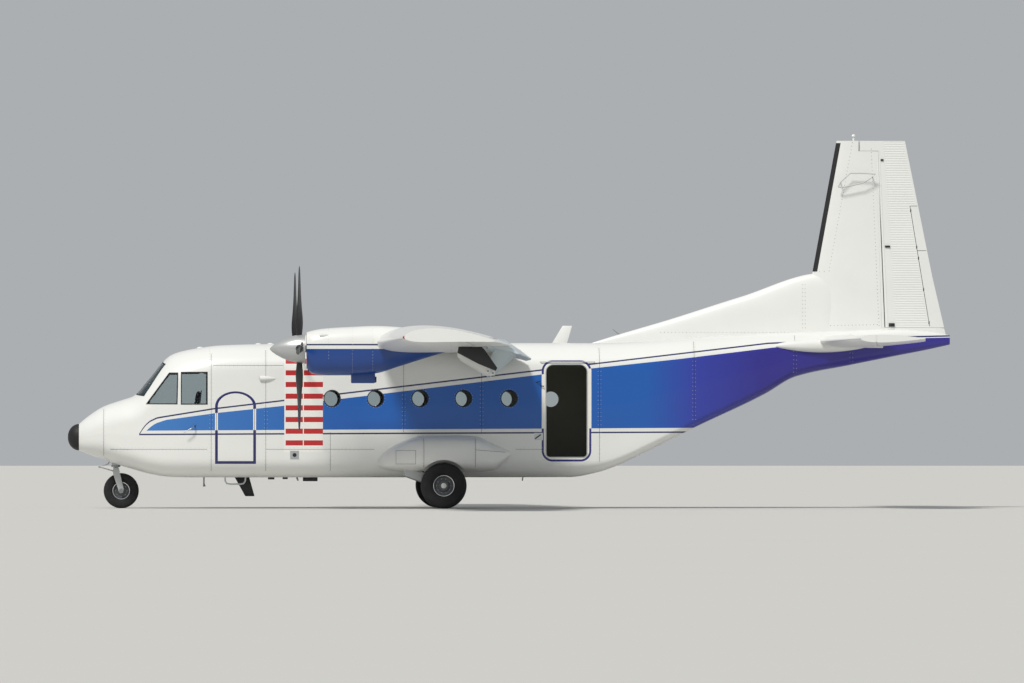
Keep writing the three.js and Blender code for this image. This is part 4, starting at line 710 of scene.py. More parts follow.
def carve(obj, *bodies, how="DIFFERENCE"):
    """Cuts bodies out of an object, or keeps what they share. The cut faces of a painted shell are lined."""
    tools = []
    for points, faces in bodies:
        tools.append(solid("tool", (points, faces), BANDED, LINER, face_paints=[1] * len(faces)))
        step = obj.modifiers.new("carve", "BOOLEAN")
        step.operation = how
        step.solver = "EXACT"
        step.object = tools[-1]
    settled(obj)
    for tool in tools:
        bpy.data.objects.remove(tool)
    return obj


def bevelled(obj, width):
    """Rounds all the sharp edges a little, so that they catch the light."""
    step = obj.modifiers.new("bevel", "BEVEL")
    step.width = width * MM
    step.segments = 2
    step.limit_method = "ANGLE"
    step.angle_limit = math.radians(BEVEL_ANGLE)
    return settled(obj)


def solid(name, body, *materials, face_paints=None):
    """An object from the points and faces of a closed body."""
    obj = as_object(name, *body, *materials, face_paints=face_paints)
    return outward(obj)


def piece(name, bodies, material, replaces=(), rider="airframe", soft=0, angle=SMOOTH_ANGLE):
    """A shown piece from one closed body or from a list of them."""
    body = together(*bodies) if isinstance(bodies, list) else bodies
    return placed(solid(name, body, material), replaces, rider, soft, angle)


def placed(obj, replaces=(), rider="airframe", soft=0, angle=SMOOTH_ANGLE):
    """Softens an object's edges, shades it, and ties it to a body and to the CAD nodes it stands for."""
    if soft:
        bevelled(obj, soft)
    obj.data.shade_smooth()
    obj.data.set_sharp_from_angle(angle=math.radians(angle))
    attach(obj, rider)
    if replaces:
        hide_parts(*replaces)
    return obj


# Simple bodies

def block(x, y, z):
    """A box from its three (low, high) pairs."""
    corners = [(a, b, c) for a in x for b in y for c in z]
    faces = [(0, 1, 3, 2), (4, 6, 7, 5), (0, 4, 5, 1), (2, 3, 7, 6), (0, 2, 6, 4), (1, 5, 7, 3)]
    return np.array(corners, float), faces


def prism(outline, first, last, axis="y"):
    """A flat outline carried from one place to another along an axis."""
    order = {"y": (0, 2, 1), "x": (2, 0, 1), "z": (0, 1, 2)}[axis]
    rings = [[[(u, v, w)[k] for k in order] for u, v in outline] for w in (first, last)]
    return loft(rings)


def crossing(way):
    """Two directions square to a way and to each other."""
    way = np.array(way, float) / np.linalg.norm(way)
    helper = np.array((0, 0, 1.0)) if abs(way[2]) < 0.9 else np.array((1.0, 0, 0))
    across = np.cross(way, helper)
    across /= np.linalg.norm(across)
    return across, np.cross(way, across)


def rod(path, radius, sides=16):
    """A round bar through points. The radius is one value or one for each point."""
    path = np.array(path, float)
    radii = np.broadcast_to(np.array(radius, float), len(path))
    ways = np.gradient(path, axis=0)
    turns = np.arange(sides) / sides * 2 * math.pi
    across, up = crossing(ways[0])
    rings = []
    for point, way, size in zip(path, ways, radii):
        way = way / np.linalg.norm(way)
        across = across - way * np.dot(across, way)
        across /= np.linalg.norm(across)
        up = np.cross(way, across)
        rings.append([point + size * (math.cos(t) * across + math.sin(t) * up) for t in turns])
    return loft(rings)


def lathe(profile, centre, axis="y", sides=64):
    """A closed (radius, along) profile spun about a line along X or Y through a centre."""
    rings = []
    for turn in 2 * math.pi * np.arange(sides) / sides:
        spun = [(r * math.cos(turn), a, r * math.sin(turn)) for r, a in profile]
        if axis == "x":
            spun = [(a, across, up) for across, a, up in spun]
        rings.append(np.array(spun) + centre)
    return looped(rings)


def rounded_arc(x, y, z, half_wide, half_tall, squareness, turns):
    """The points of such a ring at given angles."""
    c, s = np.cos(turns), np.sin(turns)
    across = half_wide * np.sign(c) * np.abs(c) ** (2 / squareness)
    up = half_tall * np.sign(s) * np.abs(s) ** (2 / squareness)
    return np.stack([np.full(len(turns), x), y + across, z + up], axis=-1)


def rounded_ring(x, y, z, half_wide, half_tall, squareness, count):
    """A ring of points square to X, between an ellipse and a rectangle in shape."""
    turns = np.arange(count) / count * 2 * math.pi
    return rounded_arc(x, y, z, half_wide, half_tall, squareness, turns)


# Fuselage shape

LOW_POINTS = 9
HIGH_POINTS = 14
SIDE_POINTS = 6


def hull_half(row, wanted):
    """One side of a section, as (y, z) points from the keel up to the crown, moved in by an inset."""
    _, low, high, half, tuck, low_wide, low_tall, high_wide, high_tall = row
    inset = min(wanted, 0.9 * min(low_wide, low_tall, high_wide, high_tall))
    crease = between(low + low_tall, high - high_tall, CREASE_SHARE)
    low_turns = np.linspace(0, math.pi / 2, LOW_POINTS)
    high_turns = np.linspace(0, math.pi / 2, HIGH_POINTS)
    foot = half - tuck - low_wide
    lower = np.stack([foot + (low_wide - inset) * np.sin(low_turns),
                      low + low_tall - (low_tall - inset) * np.cos(low_turns)], axis=-1)
    upper = np.stack([half - high_wide + (high_wide - inset) * np.cos(high_turns),
                      high - high_tall + (high_tall - inset) * np.sin(high_turns)], axis=-1)
    knee = np.array([half - inset, crease])
    shares = np.arange(1, SIDE_POINTS)[:, None] / SIDE_POINTS
    return np.concatenate([
        [[0, low + inset], [foot / 2, low + inset]], lower,
        lower[-1] + (knee - lower[-1]) * shares, [knee], knee + (upper[0] - knee) * shares,
        upper, [[upper[-1][0] / 2, high - inset], [0, high - inset]],
    ])


def hull_ring(row, inset=0.0):
    half = hull_half(row, inset)
    port = half[1:-1][::-1] * (-1, 1)
    ring = np.concatenate([half, port])
    return np.column_stack([np.full(len(ring), row[0]), ring])


def hull_body(first, last, inset=0.0, step=70):
    """A length of the fuselage as a solid body."""
    rows = smooth_rows(HULL, spread(first, last, step))
    return loft([hull_ring(row, inset) for row in rows])


def hull_shell(name, first, last, inner_first, inner_last, wall=WALL):
    """A length of fuselage with its hollow. An end where the hollow comes out is lined, the rest painted."""
    points, faces = hull_body(first, last)
    paints = [0] * (len(faces) - 2) + [int(inner_first < first), int(inner_last > last)]
    outer = solid(name, (points, faces), BANDED, LINER, face_paints=paints)
    return carve(outer, hull_body(inner_first, inner_last, wall))


def skin_half(x, z, out=0.0):
    """Half the width of the fuselage at one place, moved out by some millimetres."""
    _, low, high, half, tuck, low_wide, low_tall, high_wide, high_tall = smooth_rows(HULL, x)[0]
    foot, knee = low + low_tall, high - high_tall
    crease = between(foot, knee, CREASE_SHARE)
    if z < foot:
        rise = min(1.0, (foot - z) / (low_tall + out))
        return half - tuck - low_wide + (low_wide + out) * math.sqrt(1 - rise**2)
    if z > knee:
        rise = min(1.0, (z - knee) / (high_tall + out))
        return half - high_wide + (high_wide + out) * math.sqrt(1 - rise**2)
    if z < crease:
        return between(half - tuck, half, (z - foot) / (crease - foot)) + out
    return half + out


def on_side(places, side, out=0.0, surface=skin_half):
    """Points on the fuselage side, or on another surface, for (x, z) places."""
    return np.array([(x, side * surface(x, z, out), z) for x, z in places])


def dense(places, step=35, closed=True):
    """More points along a flat outline."""
    places = [np.array(place, float) for place in places]
    ends = places[1:] + places[:1] if closed else places[1:]
    result = []
    for start, end in zip(places, ends):
        count = max(1, int(np.linalg.norm(end - start) / step))
        result += [start + (end - start) * k / count for k in range(count)]
    return np.array(result if closed else result + [places[-1]])


def offset_outline(places, amount, closed=True):
    """A flat outline moved to its left by an amount."""
    places = np.array(places, float)
    if closed:
        ahead = np.roll(places, -1, axis=0) - places
        behind = places - np.roll(places, 1, axis=0)
    else:
        steps = np.diff(places, axis=0)
        ahead = np.concatenate([steps, steps[-1:]])
        behind = np.concatenate([steps[:1], steps])
    left_a = np.stack([-ahead[:, 1], ahead[:, 0]], axis=-1)
    left_b = np.stack([-behind[:, 1], behind[:, 0]], axis=-1)
    left_a /= np.linalg.norm(left_a, axis=1)[:, None]
    left_b /= np.linalg.norm(left_b, axis=1)[:, None]
    mean = left_a + left_b
    size = np.sum(mean * left_a, axis=1)[:, None]
    return places + amount * mean / np.maximum(size, 0.5)


def side_strip(places, side, width, proud, sunk=3.0, closed=True, surface=skin_half):
    """A flat strip that follows the fuselage side along an outline."""
    inner = offset_outline(places, -width / 2, closed)
    outer = offset_outline(places, width / 2, closed)
    rails = [on_side(edge, side, out, surface)
             for edge, out in ((inner, proud), (outer, proud), (outer, -sunk), (inner, -sunk))]
    rings = np.stack(rails, axis=1)
    return looped(rings) if closed else loft(rings)


# Doors and windows in the fuselage

def door_outline(grow):
    """The crew door's outline on the side, with straight sides under an arch."""
    middle = (DOOR.front + DOOR.rear) / 2
    half = (DOOR.rear - DOOR.front) / 2 + grow
    arch = [(middle + half * math.cos(t), DOOR.spring + (DOOR.rise + grow) * math.sin(t))
            for t in np.linspace(0, math.pi, ARCH_POINTS)]
    return [(middle - half, DOOR.low - grow), (middle + half, DOOR.low - grow), *arch]


def door_body(grow):
    """The crew door's place in the wall, which is wider outside than inside."""
    ends = ((-SIDE_CUT[1], DOOR.draft), (-DOOR.inner_reach, -DOOR.inner_draft))
    return loft([[(x, y, z) for x, z in door_outline(grow + wider)] for y, wider in ends])


def rear_door_outline(grow=0.0):
    """The rear port door's outline, with small round corners below and larger ones above."""
    corners = (
        # x edge, way in from it, z edge, way in from it, radius, first quarter turn
        ("rear", -1, "low", 1, "low_radius", 3),
        ("rear", -1, "high", -1, "high_radius", 0),
        ("front", 1, "high", -1, "high_radius", 1),
        ("front", 1, "low", 1, "low_radius", 2),
    )
    outline = []
    for x_edge, x_way, z_edge, z_way, radius_name, quarter in corners:
        radius = REAR_DOOR[radius_name]
        x, z = REAR_DOOR[x_edge] + x_way * radius, REAR_DOOR[z_edge] + z_way * radius
        for turn in (quarter + np.arange(CORNER_STEPS + 1) / CORNER_STEPS) * math.pi / 2:
            outline.append((x + (radius + grow) * math.cos(turn), z + (radius + grow) * math.sin(turn)))
    return outline


def circle(x, z, radius, count=40):
    turns = np.arange(count) / count * 2 * math.pi
    return [(x + radius * math.cos(t), z + radius * math.sin(t)) for t in turns]


def through_side(outline, side, cut=SIDE_CUT):
    """A flat outline on the side, carried from inside the wall to well outside it."""
    return prism(outline, side * cut[0], side * cut[1])


def round_window_bodies(radius):
    return together(*[through_side(circle(x, WINDOW_HEIGHT, radius), side) for x, side in ROUND_WINDOWS])


def glass_bodies(grow):
    """The cutting bodies of the cockpit's side windows and of its two windscreen panes."""
    sides = [through_side(offset_outline(outline, grow), side, COCKPIT_SIDE_CUT)
             for outline in SIDE_WINDOWS for _, side in SIDES]
    pane = offset_outline(SCREEN_PANE, -grow)
    screens = [prism([(side * y, z) for y, z in pane], SCREEN_FRONT, SCREEN_REAR, "x") for _, side in SIDES]
    return together(*sides), together(*screens)


def opening_plan(grow):
    """The rear opening seen from above."""
    half = (RAMP.half + grow, RAMP.half + grow, UPPER_DOOR.rear_half + grow)
    stations = (RAMP.opening_front, UPPER_DOOR.front, UPPER_DOOR.rear + grow)
    return [(x, -h) for x, h in zip(stations, half)] + [(x, h) for x, h in zip(stations, half)][::-1]


def low_line(x):
    """The height of the keel."""
    return smooth_rows(HULL, x)[0][1]


def high_line(x):
    """The height of the roof."""
    return smooth_rows(HULL, x)[0][2]


# Fuselage pieces

def nose():
    _, low, high = HULL[0][:3]
    middle = (low + high) / 2
    cap_rear = CAP_REAR - SEAT_GAP
    rings = []
    for share in np.sin(np.linspace(0, math.pi / 2, 16)):
        size = math.sqrt(1 - (share * CAP_ROUND) ** 2)
        ring = hull_ring(HULL[0])
        ring[:, 0] = between(cap_rear, NOSE_TIP, share)
        ring[:, 1] *= size
        ring[:, 2] = middle + (ring[:, 2] - middle) * size
        rings.append(ring)
    piece("black_nose_cap", loft(rings), BOOT_RUBBER, ["nose_cap"])
    piece("nose_fairing", hull_body(CAP_REAR, NOSE_JOINT, step=40), BANDED, ["nose_cone"])


def cockpit():
    shell = hull_shell("cockpit_skin", NOSE_JOINT + SEAT_GAP, COCKPIT_REAR, HOLLOW_FRONT,
                       COCKPIT_REAR + OVERSHOOT)
    windows, panes = glass_bodies(0)
    socket = rod([(STEERING_X, 0, z) for z in (500, LEG_BOTTOM + NOSE_LEG.tall)], NOSE_LEG.outer + 1, 40)
    carve(shell, panes, windows, door_body(MOVE_GAP), socket)
    placed(shell, ["cockpit_shell"])


def cabin():
    shell = hull_shell("cabin_skin", COCKPIT_REAR + SEAT_GAP, CABIN_REAR, COCKPIT_REAR - OVERSHOOT,
                       CABIN_REAR + OVERSHOOT)
    carve(shell, together(round_window_bodies(WINDOW_RADIUS), through_side(rear_door_outline(), -1)))
    placed(shell, ["cabin_shell"])


def rear_joint(x):
    """The leaning face at the ramp's rear edge or the upper door's front edge: its foot and its top."""
    foot = low_line(RAMP.rear)
    return [(x - JOINT_LEAN * (z - foot), z) for z in (UNDER_HULL, foot + UPPER_DOOR.thick * 0.75)]


def rear():
    shell = hull_shell("rear_skin", CABIN_REAR + SEAT_GAP, TAIL_TIP, CABIN_REAR - OVERSHOOT, HOLLOW_REAR,
                       REAR_WALL)
    carve(shell, prism(opening_plan(MOVE_GAP), UNDER_HULL, RAMP.opening_top, "z"))
    placed(shell, ["rear_fuselage", "tail_cone"])
    hull = hull_body(CABIN_REAR - 100, TAIL_TIP)
    ramp_profile = [(RAMP.front, UNDER_HULL), *rear_joint(RAMP.rear),
                    (RAMP.front, low_line(RAMP.front) + RAMP.front_thick)]
    ramp = solid("loading_ramp", hull, BANDED, LINER)
    carve(ramp, prism(ramp_profile, -RAMP.half, RAMP.half), how="INTERSECT")
    placed(ramp, ["rear_ramp"], "rear_ramp")
    xs = spread(UPPER_DOOR.front + 120, UPPER_DOOR.rear, 200)
    door_profile = [*rear_joint(UPPER_DOOR.front)[::-1], (xs[-1], UNDER_HULL)]
    door_profile += [(x, low_line(x) + UPPER_DOOR.thick) for x in xs[::-1]]
    door = solid("upper_door", hull, BANDED, LINER)
    carve(door, prism(door_profile, -UPPER_DOOR.front_half, UPPER_DOOR.front_half),
          prism(opening_plan(0), UNDER_HULL, UPPER_DOOR.plan_top, "z"), how="INTERSECT")
    placed(door, ["upper_rear_door"], "upper_rear_door")


def crew_door():
    front, rear = DOOR.front - 360, DOOR.rear + 390
    panel = hull_shell("crew_door_panel", front, rear, front - OVERSHOOT, rear + OVERSHOOT)
    carve(panel, door_body(0), how="INTERSECT")
    placed(panel, ["crew_door"], "crew_door")


def skin_layer(name, material, length, depths, shape, hole=None, replaces=()):
    """A layer that follows the skin between two depths, inside a shape and outside a hole."""
    first, last = length
    layer = solid(name, hull_body(first, last, depths[0]), material)
    carve(layer, hull_body(first - OVERSHOOT, last + OVERSHOOT, depths[1]))
    carve(layer, shape, how="INTERSECT")
    if hole:
        carve(layer, hole)
    placed(layer, replaces)


def glazing():
    for name, side in SIDES:
        shape = through_side(SIDE_GLASS, side, COCKPIT_SIDE_CUT)
        skin_layer(f"side_panes_{name}", WINDOW_ACRYLIC, (HOLLOW_FRONT, COCKPIT_REAR), (9, 15), shape,
                   replaces=[f"side_glass_{name}"])
    shape = prism(SCREEN_GLASS, SCREEN_FRONT, SCREEN_REAR, "x")
    skin_layer("windscreen_panes", SCREEN_ACRYLIC, (HOLLOW_FRONT - 40, COCKPIT_REAR), (9, 17), shape,
               replaces=["windscreen"])


# Wing shape

def wing_values(y):
    """The wing's front, chord and thickness share at one place along the span."""
    share = max(0.0, (abs(y) - CENTRE_HALF_SPAN) / (HALF_SPAN - CENTRE_HALF_SPAN))
    return [between(ROOT_WING[key], TIP_WING[key], share) for key in ("front", "chord", "thick")]


def half_thickness(share, thickness):
    """Half the thickness of a common wing section, for a chord of 1."""
    root = np.sqrt(share)
    total = 0.2969 * root - 0.126 * share - 0.3516 * share**2 + 0.2843 * share**3 - 0.1015 * share**4
    return 5 * thickness * np.maximum(total, 0) + 0.002 * share


def wing_surface(y, shares, top):
    """(x, z) points of the upper or lower surface, at shares of the chord."""
    front, chord, thick = wing_values(y)
    shares = np.array(shares, float)
    line = 4 * CAMBER * shares * (1 - shares) * (1.15 - 0.3 * shares)
    rise = line + (1 if top else -1) * half_thickness(shares, thick)
    x = front + chord * (shares * math.cos(INCIDENCE) + rise * math.sin(INCIDENCE))
    z = WING_HEIGHT + chord * (rise * math.cos(INCIDENCE) - shares * math.sin(INCIDENCE))
    return np.stack([x, z], axis=-1)


CHORD_POINTS = 36
FINE_SHARES = np.linspace(0, 1, 801)


def rounded_shares(start, end, count=CHORD_POINTS):
    """Shares of the chord that lie closer together near the leading edge."""
    return end + (start - end) * (1 - np.cos(np.linspace(0, math.pi / 2, count)))


def share_where(y, top, measure):
    """The share of the chord where a measure of the (x, z) points first turns positive."""
    values = measure(wing_surface(y, FINE_SHARES, top))
    first = int(np.argmax(values > 0))
    return float(FINE_SHARES[first]) if values[first] > 0 else 1.0


def fixed_ring(y, side, measure=None, nose=None):
    """The wing's section, cut off where a measure turns positive, with a hollow face for a round nose."""
    ends = [1.0 if measure is None else share_where(y, top, measure) for top in (True, False)]
    upper = wing_surface(y, rounded_shares(ends[0], 0.0), True)
    lower = wing_surface(y, rounded_shares(ends[1], 0.0), False)[::-1][1:]
    ring = np.concatenate([upper, lower] if nose is None else [upper, lower, nose])
    return np.column_stack([ring[:, 0], np.full(len(ring), side * y), ring[:, 1]])


def moving_ring(y, side, measure, nose=None):
    """The part of the wing's section behind where a measure turns positive."""
    starts = [share_where(y, top, measure) for top in (True, False)]
    upper = wing_surface(y, np.linspace(starts[0], 1, 20), True)
    lower = wing_surface(y, np.linspace(1, starts[1], 20), False)
    ring = np.concatenate([upper, lower] if nose is None else [upper, lower, nose])
    return np.column_stack([ring[:, 0], np.full(len(ring), side * y), ring[:, 1]])


def flap_share(flap, y):
    """How far along a flap's span a place lies, from 0 to 1."""
    return (y - flap.start) / (flap.end - flap.start)


def slant_at(flap, y):
    """Where the slanted gap in front of a flap lies, at the slant's height."""
    return between(flap.slant_from, flap.slant_to, flap_share(flap, y))


def behind_slant(flap, y, back):
    """How far (x, z) points lie behind the slanted flap gap."""
    return lambda points: points[:, 0] - slant_at(flap, y) - back - (points[:, 1] - SLANT_HEIGHT)


def flap_pivot(flap, y):
    """The (x, z) of a flap's pivot line at one place along the span."""
    if flap is INNER_FLAP:
        return FLAP_PIVOTS[0]
    return [between(a, b, flap_share(flap, y)) for a, b in zip(*FLAP_PIVOTS)]


def flap_turn(flap, side):
    """The matrix that droops a flap about its pivot line."""
    near, far = flap_pivot(flap, flap.start), flap_pivot(flap, flap.end)
    point = Vector((near[0], side * flap.start, near[1]))
    axis = Vector((far[0] - near[0], side * (flap.end - flap.start), far[1] - near[1])) * side
    turn = Matrix.Rotation(FLAP_DROOP, 4, axis)
    return np.array(Matrix.Translation(point) @ turn @ Matrix.Translation(-point))


def aileron_hinge(y):
    """The aileron's hinge point and nose radius at one place along the span."""
    slope = (AILERON.hinge_to - AILERON.hinge_from) / (AILERON.end - AILERON.start)
    x = AILERON.hinge_from + slope * (y - AILERON.start)
    heights = [np.interp(x, *wing_surface(y, FINE_SHARES[40:], top).T) for top in (True, False)]
    return x, sum(heights) / 2, (heights[0] - heights[1]) / 2 - 1


def nose_arc(x, z, radius, start, end, count=14):
    """An arc of (x, z) points between two angles in degrees."""
    turns = np.radians(np.linspace(start, end, count))
    return np.stack([x + radius * np.cos(turns), z + radius * np.sin(turns)], axis=-1)


def hollow_nose(x, z, radius):
    """The hollow in a fixed surface that a moving surface's round nose turns in."""
    return nose_arc(x, z, radius + MOVE_GAP, 240, 120)


def round_nose(x, z, radius):
    """The round nose of a surface that turns about a hinge point."""
    return nose_arc(x, z, radius, 262, 98)


def aileron_bay_ring(y, side):
    x, z, radius = aileron_hinge(y)
    front = x - 0.5 * radius
    return fixed_ring(y, side, lambda points: points[:, 0] - front, hollow_nose(x, z, radius))


def aileron_ring(y, side):
    x, z, radius = aileron_hinge(y)
    return moving_ring(y, side, lambda points: points[:, 0] - x, round_nose(x, z, radius))


def flap_hanger(flap, side, y):
    """The fixed plate under the wing, the flap's arm beside it and the pin through both."""
    px, pz = flap_pivot(flap, y)
    plate = [(px - 520, 2700), (px - 500, pz + 230), (px - 30, pz - 45), (px + 40, pz - 25),
             (px + 45, pz + 35), (px - 215, 2640), (px - 215, 2700)]
    arm = [(px - 45, pz + 30), (px - 25, pz - 38), (px + 40, pz - 35), (px + 300, 2690), (px + 20, 2760)]
    pin = [(px, side * (y - HANGER.pin_half), pz), (px, side * (y + HANGER.pin_half), pz)]
    return (prism(plate, side * y, side * (y + HANGER.plate_thick)),
            prism(arm, side * (y + HANGER.arm_near), side * (y + HANGER.arm_far)),
            rod(pin, HANGER.pin_radius))


def wing():
    bodies = [loft([fixed_ring(y, 1) for y in (-CENTRE_EDGE, CENTRE_EDGE)])]
    for _, side in SIDES:
        bodies.append(loft([fixed_ring(y, side, behind_slant(INNER_FLAP, y, 0))
                            for y in (CENTRE_EDGE, CENTRE_HALF_SPAN)]))
    piece("wing_middle", bodies, WHITE_PAINT, ["wing_centre"], angle=THIN_ANGLE)
    flap_end = OUTER_FLAP.end + FLAP_RELIEF
    flap_bay = (CENTRE_HALF_SPAN + SEAT_GAP, flap_end)
    bay = (AILERON.start - AILERON_END_GAP, AILERON.end + AILERON_END_GAP)
    for name, side in SIDES:
        bodies = [
            loft([fixed_ring(y, side, behind_slant(OUTER_FLAP, y, 0)) for y in flap_bay]),
            loft([fixed_ring(y, side) for y in (flap_end, bay[0])]),
            loft([aileron_bay_ring(y, side) for y in bay]),
            loft([fixed_ring(y, side) for y in (bay[1], HALF_SPAN - 20, HALF_SPAN)]),
        ]
        piece(f"wing_panel_{name}", bodies, WHITE_PAINT, [f"wing_{name}"], angle=THIN_ANGLE)
        for part, flap in (("inner", INNER_FLAP), ("outer", OUTER_FLAP)):
            add_flap(part, flap, name, side)
        body = loft([aileron_ring(y, side) for y in (AILERON.start, AILERON.end)])
        aileron = f"aileron_{name}"
        piece(f"aileron_skin_{name}", body, WHITE_PAINT, [aileron], aileron, angle=THIN_ANGLE)


def add_flap(part, flap, name, side):
    node = f"flap_{part}_{name}"
    rings = [moving_ring(y, side, behind_slant(flap, y, FLAP_GAP)) for y in (flap.start, flap.end)]
    plates, arms, pins = map(list, zip(*[flap_hanger(flap, side, y) for y in flap.brackets]))
    points, faces = together(loft(rings), *arms)
    turned = np.column_stack([points, np.ones(len(points))]) @ flap_turn(flap, side).T
    # The flap skin's light blue-grey is a painted sky reflection on shaded white paint.
    piece(f"flap_{part}_skin_{name}", (turned[:, :3], faces), FLAP_SKY_REFLECTION_PAINT, [node], node, angle=THIN_ANGLE)
    piece(f"flap_{part}_brackets_{name}", plates, WHITE_PAINT, soft=2)
    piece(f"flap_{part}_pins_{name}", pins, STEEL)


def along_shaft(side, first, last, radius, sides=48):
    """A round bar on a propeller's axis."""
    y, z = side * PROPELLER.y, PROPELLER.z
    return rod([(first, y, z), (last, y, z)], radius, sides)


# Engines and propellers

def nacelle(name, side):
    y = side * PROPELLER.y
    rows = smooth_rows(NACELLE, spread(NACELLE[0][0], NACELLE[-1][0], 45))
    rings = [rounded_ring(x, y, (low + high) / 2, half, (high - low) / 2, NACELLE_SQUARE, 64)
             for x, low, high, half in rows]
    body = solid(f"cowling_{name}", loft(rings), COWLING)
    carve(body, *[along_shaft(side, cut.front, cut.rear, cut.radius) for cut in (ENGINE_BAY, MOUTH)])
    placed(body, [f"nacelle_{name}"])
    box = block((-2780, -2374), (y - 120, y + 120), (2125, 2330))
    piece(f"exhaust_box_{name}", box, COWLING, soft=18)


def engine(name, side):
    centre = (0, side * PROPELLER.y, PROPELLER.z)
    face, step, rear = ENGINE.face, ENGINE.step, ENGINE_BAY.rear
    shaft, radius = ENGINE.shaft, ENGINE.radius
    profile = [(AXIS_RADIUS, face), (shaft, face), (shaft, step), (radius, step), (radius, rear),
               (AXIS_RADIUS, rear)]
    piece(f"engine_block_{name}", lathe(profile, centre, "x", 48), STEEL, [f"engine_{name}"])


def blade_body(y, turn):
    """A twisted blade, at a turn from upright about a propeller's axis."""
    places = np.concatenate([np.linspace(90, 700, 12), np.linspace(760, 1300, 10), [1340, 1370, 1388, 1395]])
    sin, cos = math.sin(turn), math.cos(turn)
    rings = []
    for radius, chord, thick, twist in smooth_rows(BLADE, places):
        tip = max(0.0, (radius - BLADE_TIP.start) / (BLADE_TIP.end - BLADE_TIP.start))
        chord *= math.sqrt(1 - BLADE_TIP.narrowing * tip**2)
        pitch = math.radians(twist)
        ring = rounded_ring(0, 0, 0, chord / 2, thick / 2, 1.8, 24)[:, 1:]
        across = ring[:, 0] * math.cos(pitch) - ring[:, 1] * math.sin(pitch)
        along = ring[:, 0] * math.sin(pitch) + ring[:, 1] * math.cos(pitch)
        rings.append(np.stack([PROPELLER.x + along, y + across * cos - radius * sin,
                               PROPELLER.z + across * sin + radius * cos], axis=-1))
    return loft(rings)


def blade_turns():
    return [2 * math.pi * k / PROPELLER.blades for k in range(PROPELLER.blades)]


def propeller(name, side):
    rider = f"propeller_{name}"
    centre = (0, side * PROPELLER.y, PROPELLER.z)
    blades = [blade_body(centre[1], turn) for turn in blade_turns()]
    piece(f"propeller_blades_{name}", blades, BLACK_PAINT_AND_SHADE, [rider], rider, angle=50)
    front, rear, radius = HUB.front, HUB.rear, HUB.radius
    profile = [(AXIS_RADIUS, front), (radius - HUB.edge_in, front), (radius, front + HUB.edge),
               (radius, rear - HUB.edge), (radius - HUB.edge_in, rear), (AXIS_RADIUS, rear)]
    piece(f"propeller_hub_{name}", lathe(profile, centre, "x", 48), STEEL, rider=rider)
    spinner(name, centre, rider)


def spinner(name, centre, rider):
    """The pointed cap over the hub, hollow behind, with a hole for each blade."""
    front, rear = SPINNER.front, SPINNER.rear
    outer = [(SPINNER.radius * math.sin(share * math.pi / 2) ** 0.72, front + (rear - front) * share)
             for share in np.linspace(0, 1, 40)[1:] ** 1.4]
    profile = [(AXIS_RADIUS, front), *outer, (SPINNER.bore, rear), (SPINNER.bore, rear - 205),
               (AXIS_RADIUS, rear - 215)]
    shell = solid(f"spinner_shell_{name}", lathe(profile, centre, "x", 72), SPINNER_METAL)
    holes = []
    for turn in blade_turns():
        up = np.array((0, -math.sin(turn), math.cos(turn)))
        middle = np.array((PROPELLER.x, *centre[1:]))
        path = [middle + up * reach for reach in SPINNER.hole_reach]
        holes.append(rod(path, SPINNER.hole_radius, 32))
    carve(shell, together(*holes))
    placed(shell, [f"spinner_{name}"], rider)


# Tail

def level_surface(front, rear, thick, shares, way):
    """One face of a tail surface's section, as (along, across) points at shares of its chord."""
    x = front + (rear - front) * shares
    return np.stack([x, way * (rear - front) * half_thickness(shares, thick)], axis=-1)


def level_ring(row, end=1.0, nose=None):
    """A tail surface's section as (along, across) points, cut off at a share of its chord."""
    _, front, rear, thick = row
    shares = rounded_shares(end, 0.0)
    one = level_surface(front, rear, thick, shares, 1)
    other = level_surface(front, rear, thick, shares, -1)[::-1][1:]
    return np.concatenate([one, other] if nose is None else [one, other, nose])


def level_rear_ring(row, start, nose):
    """A tail surface's section behind a share of its chord, closed by its nose."""
    _, front, rear, thick = row
    one = level_surface(front, rear, thick, np.linspace(start, 1, 44), 1)
    other = level_surface(front, rear, thick, np.linspace(1, start, 44), -1)
    return np.concatenate([one, other, nose])


def chord_share(row, x):
    return (x - row[1]) / (row[2] - row[1])


def upright(ring, z):
    """A section of the fin at its height."""
    return np.column_stack([ring[:, 0], ring[:, 1], np.full(len(ring), z)])


def flat(ring, side, y):
    """A section of the tailplane at its place along the span."""
    return np.column_stack([ring[:, 0], np.full(len(ring), side * y), TAIL_HEIGHT + ring[:, 1]])


def fin_ring(z):
    row = straight_row(FIN, z)
    _, x, radius = straight_row(RUDDER_HINGE, z)
    return upright(level_ring(row, chord_share(row, x - 0.5 * radius), hollow_nose(x, 0, radius)), z)


def fin_cap_ring(z):
    """The fin's section in front of the rudder's horn, with a flat face."""
    row = straight_row(FIN, z)
    rear = RUDDER_HORN.front - MOVE_GAP
    face = np.column_stack([np.full(14, rear), np.linspace(-20, 20, 14)])
    return upright(level_ring(row, chord_share(row, rear), face), z)


CORRUGATION = Sizes(pitch=41, deep=4.6, front_low=123, front_high=72, front_run=20, rear_margin=25,
                    tab_margin=12, rear_run=25)


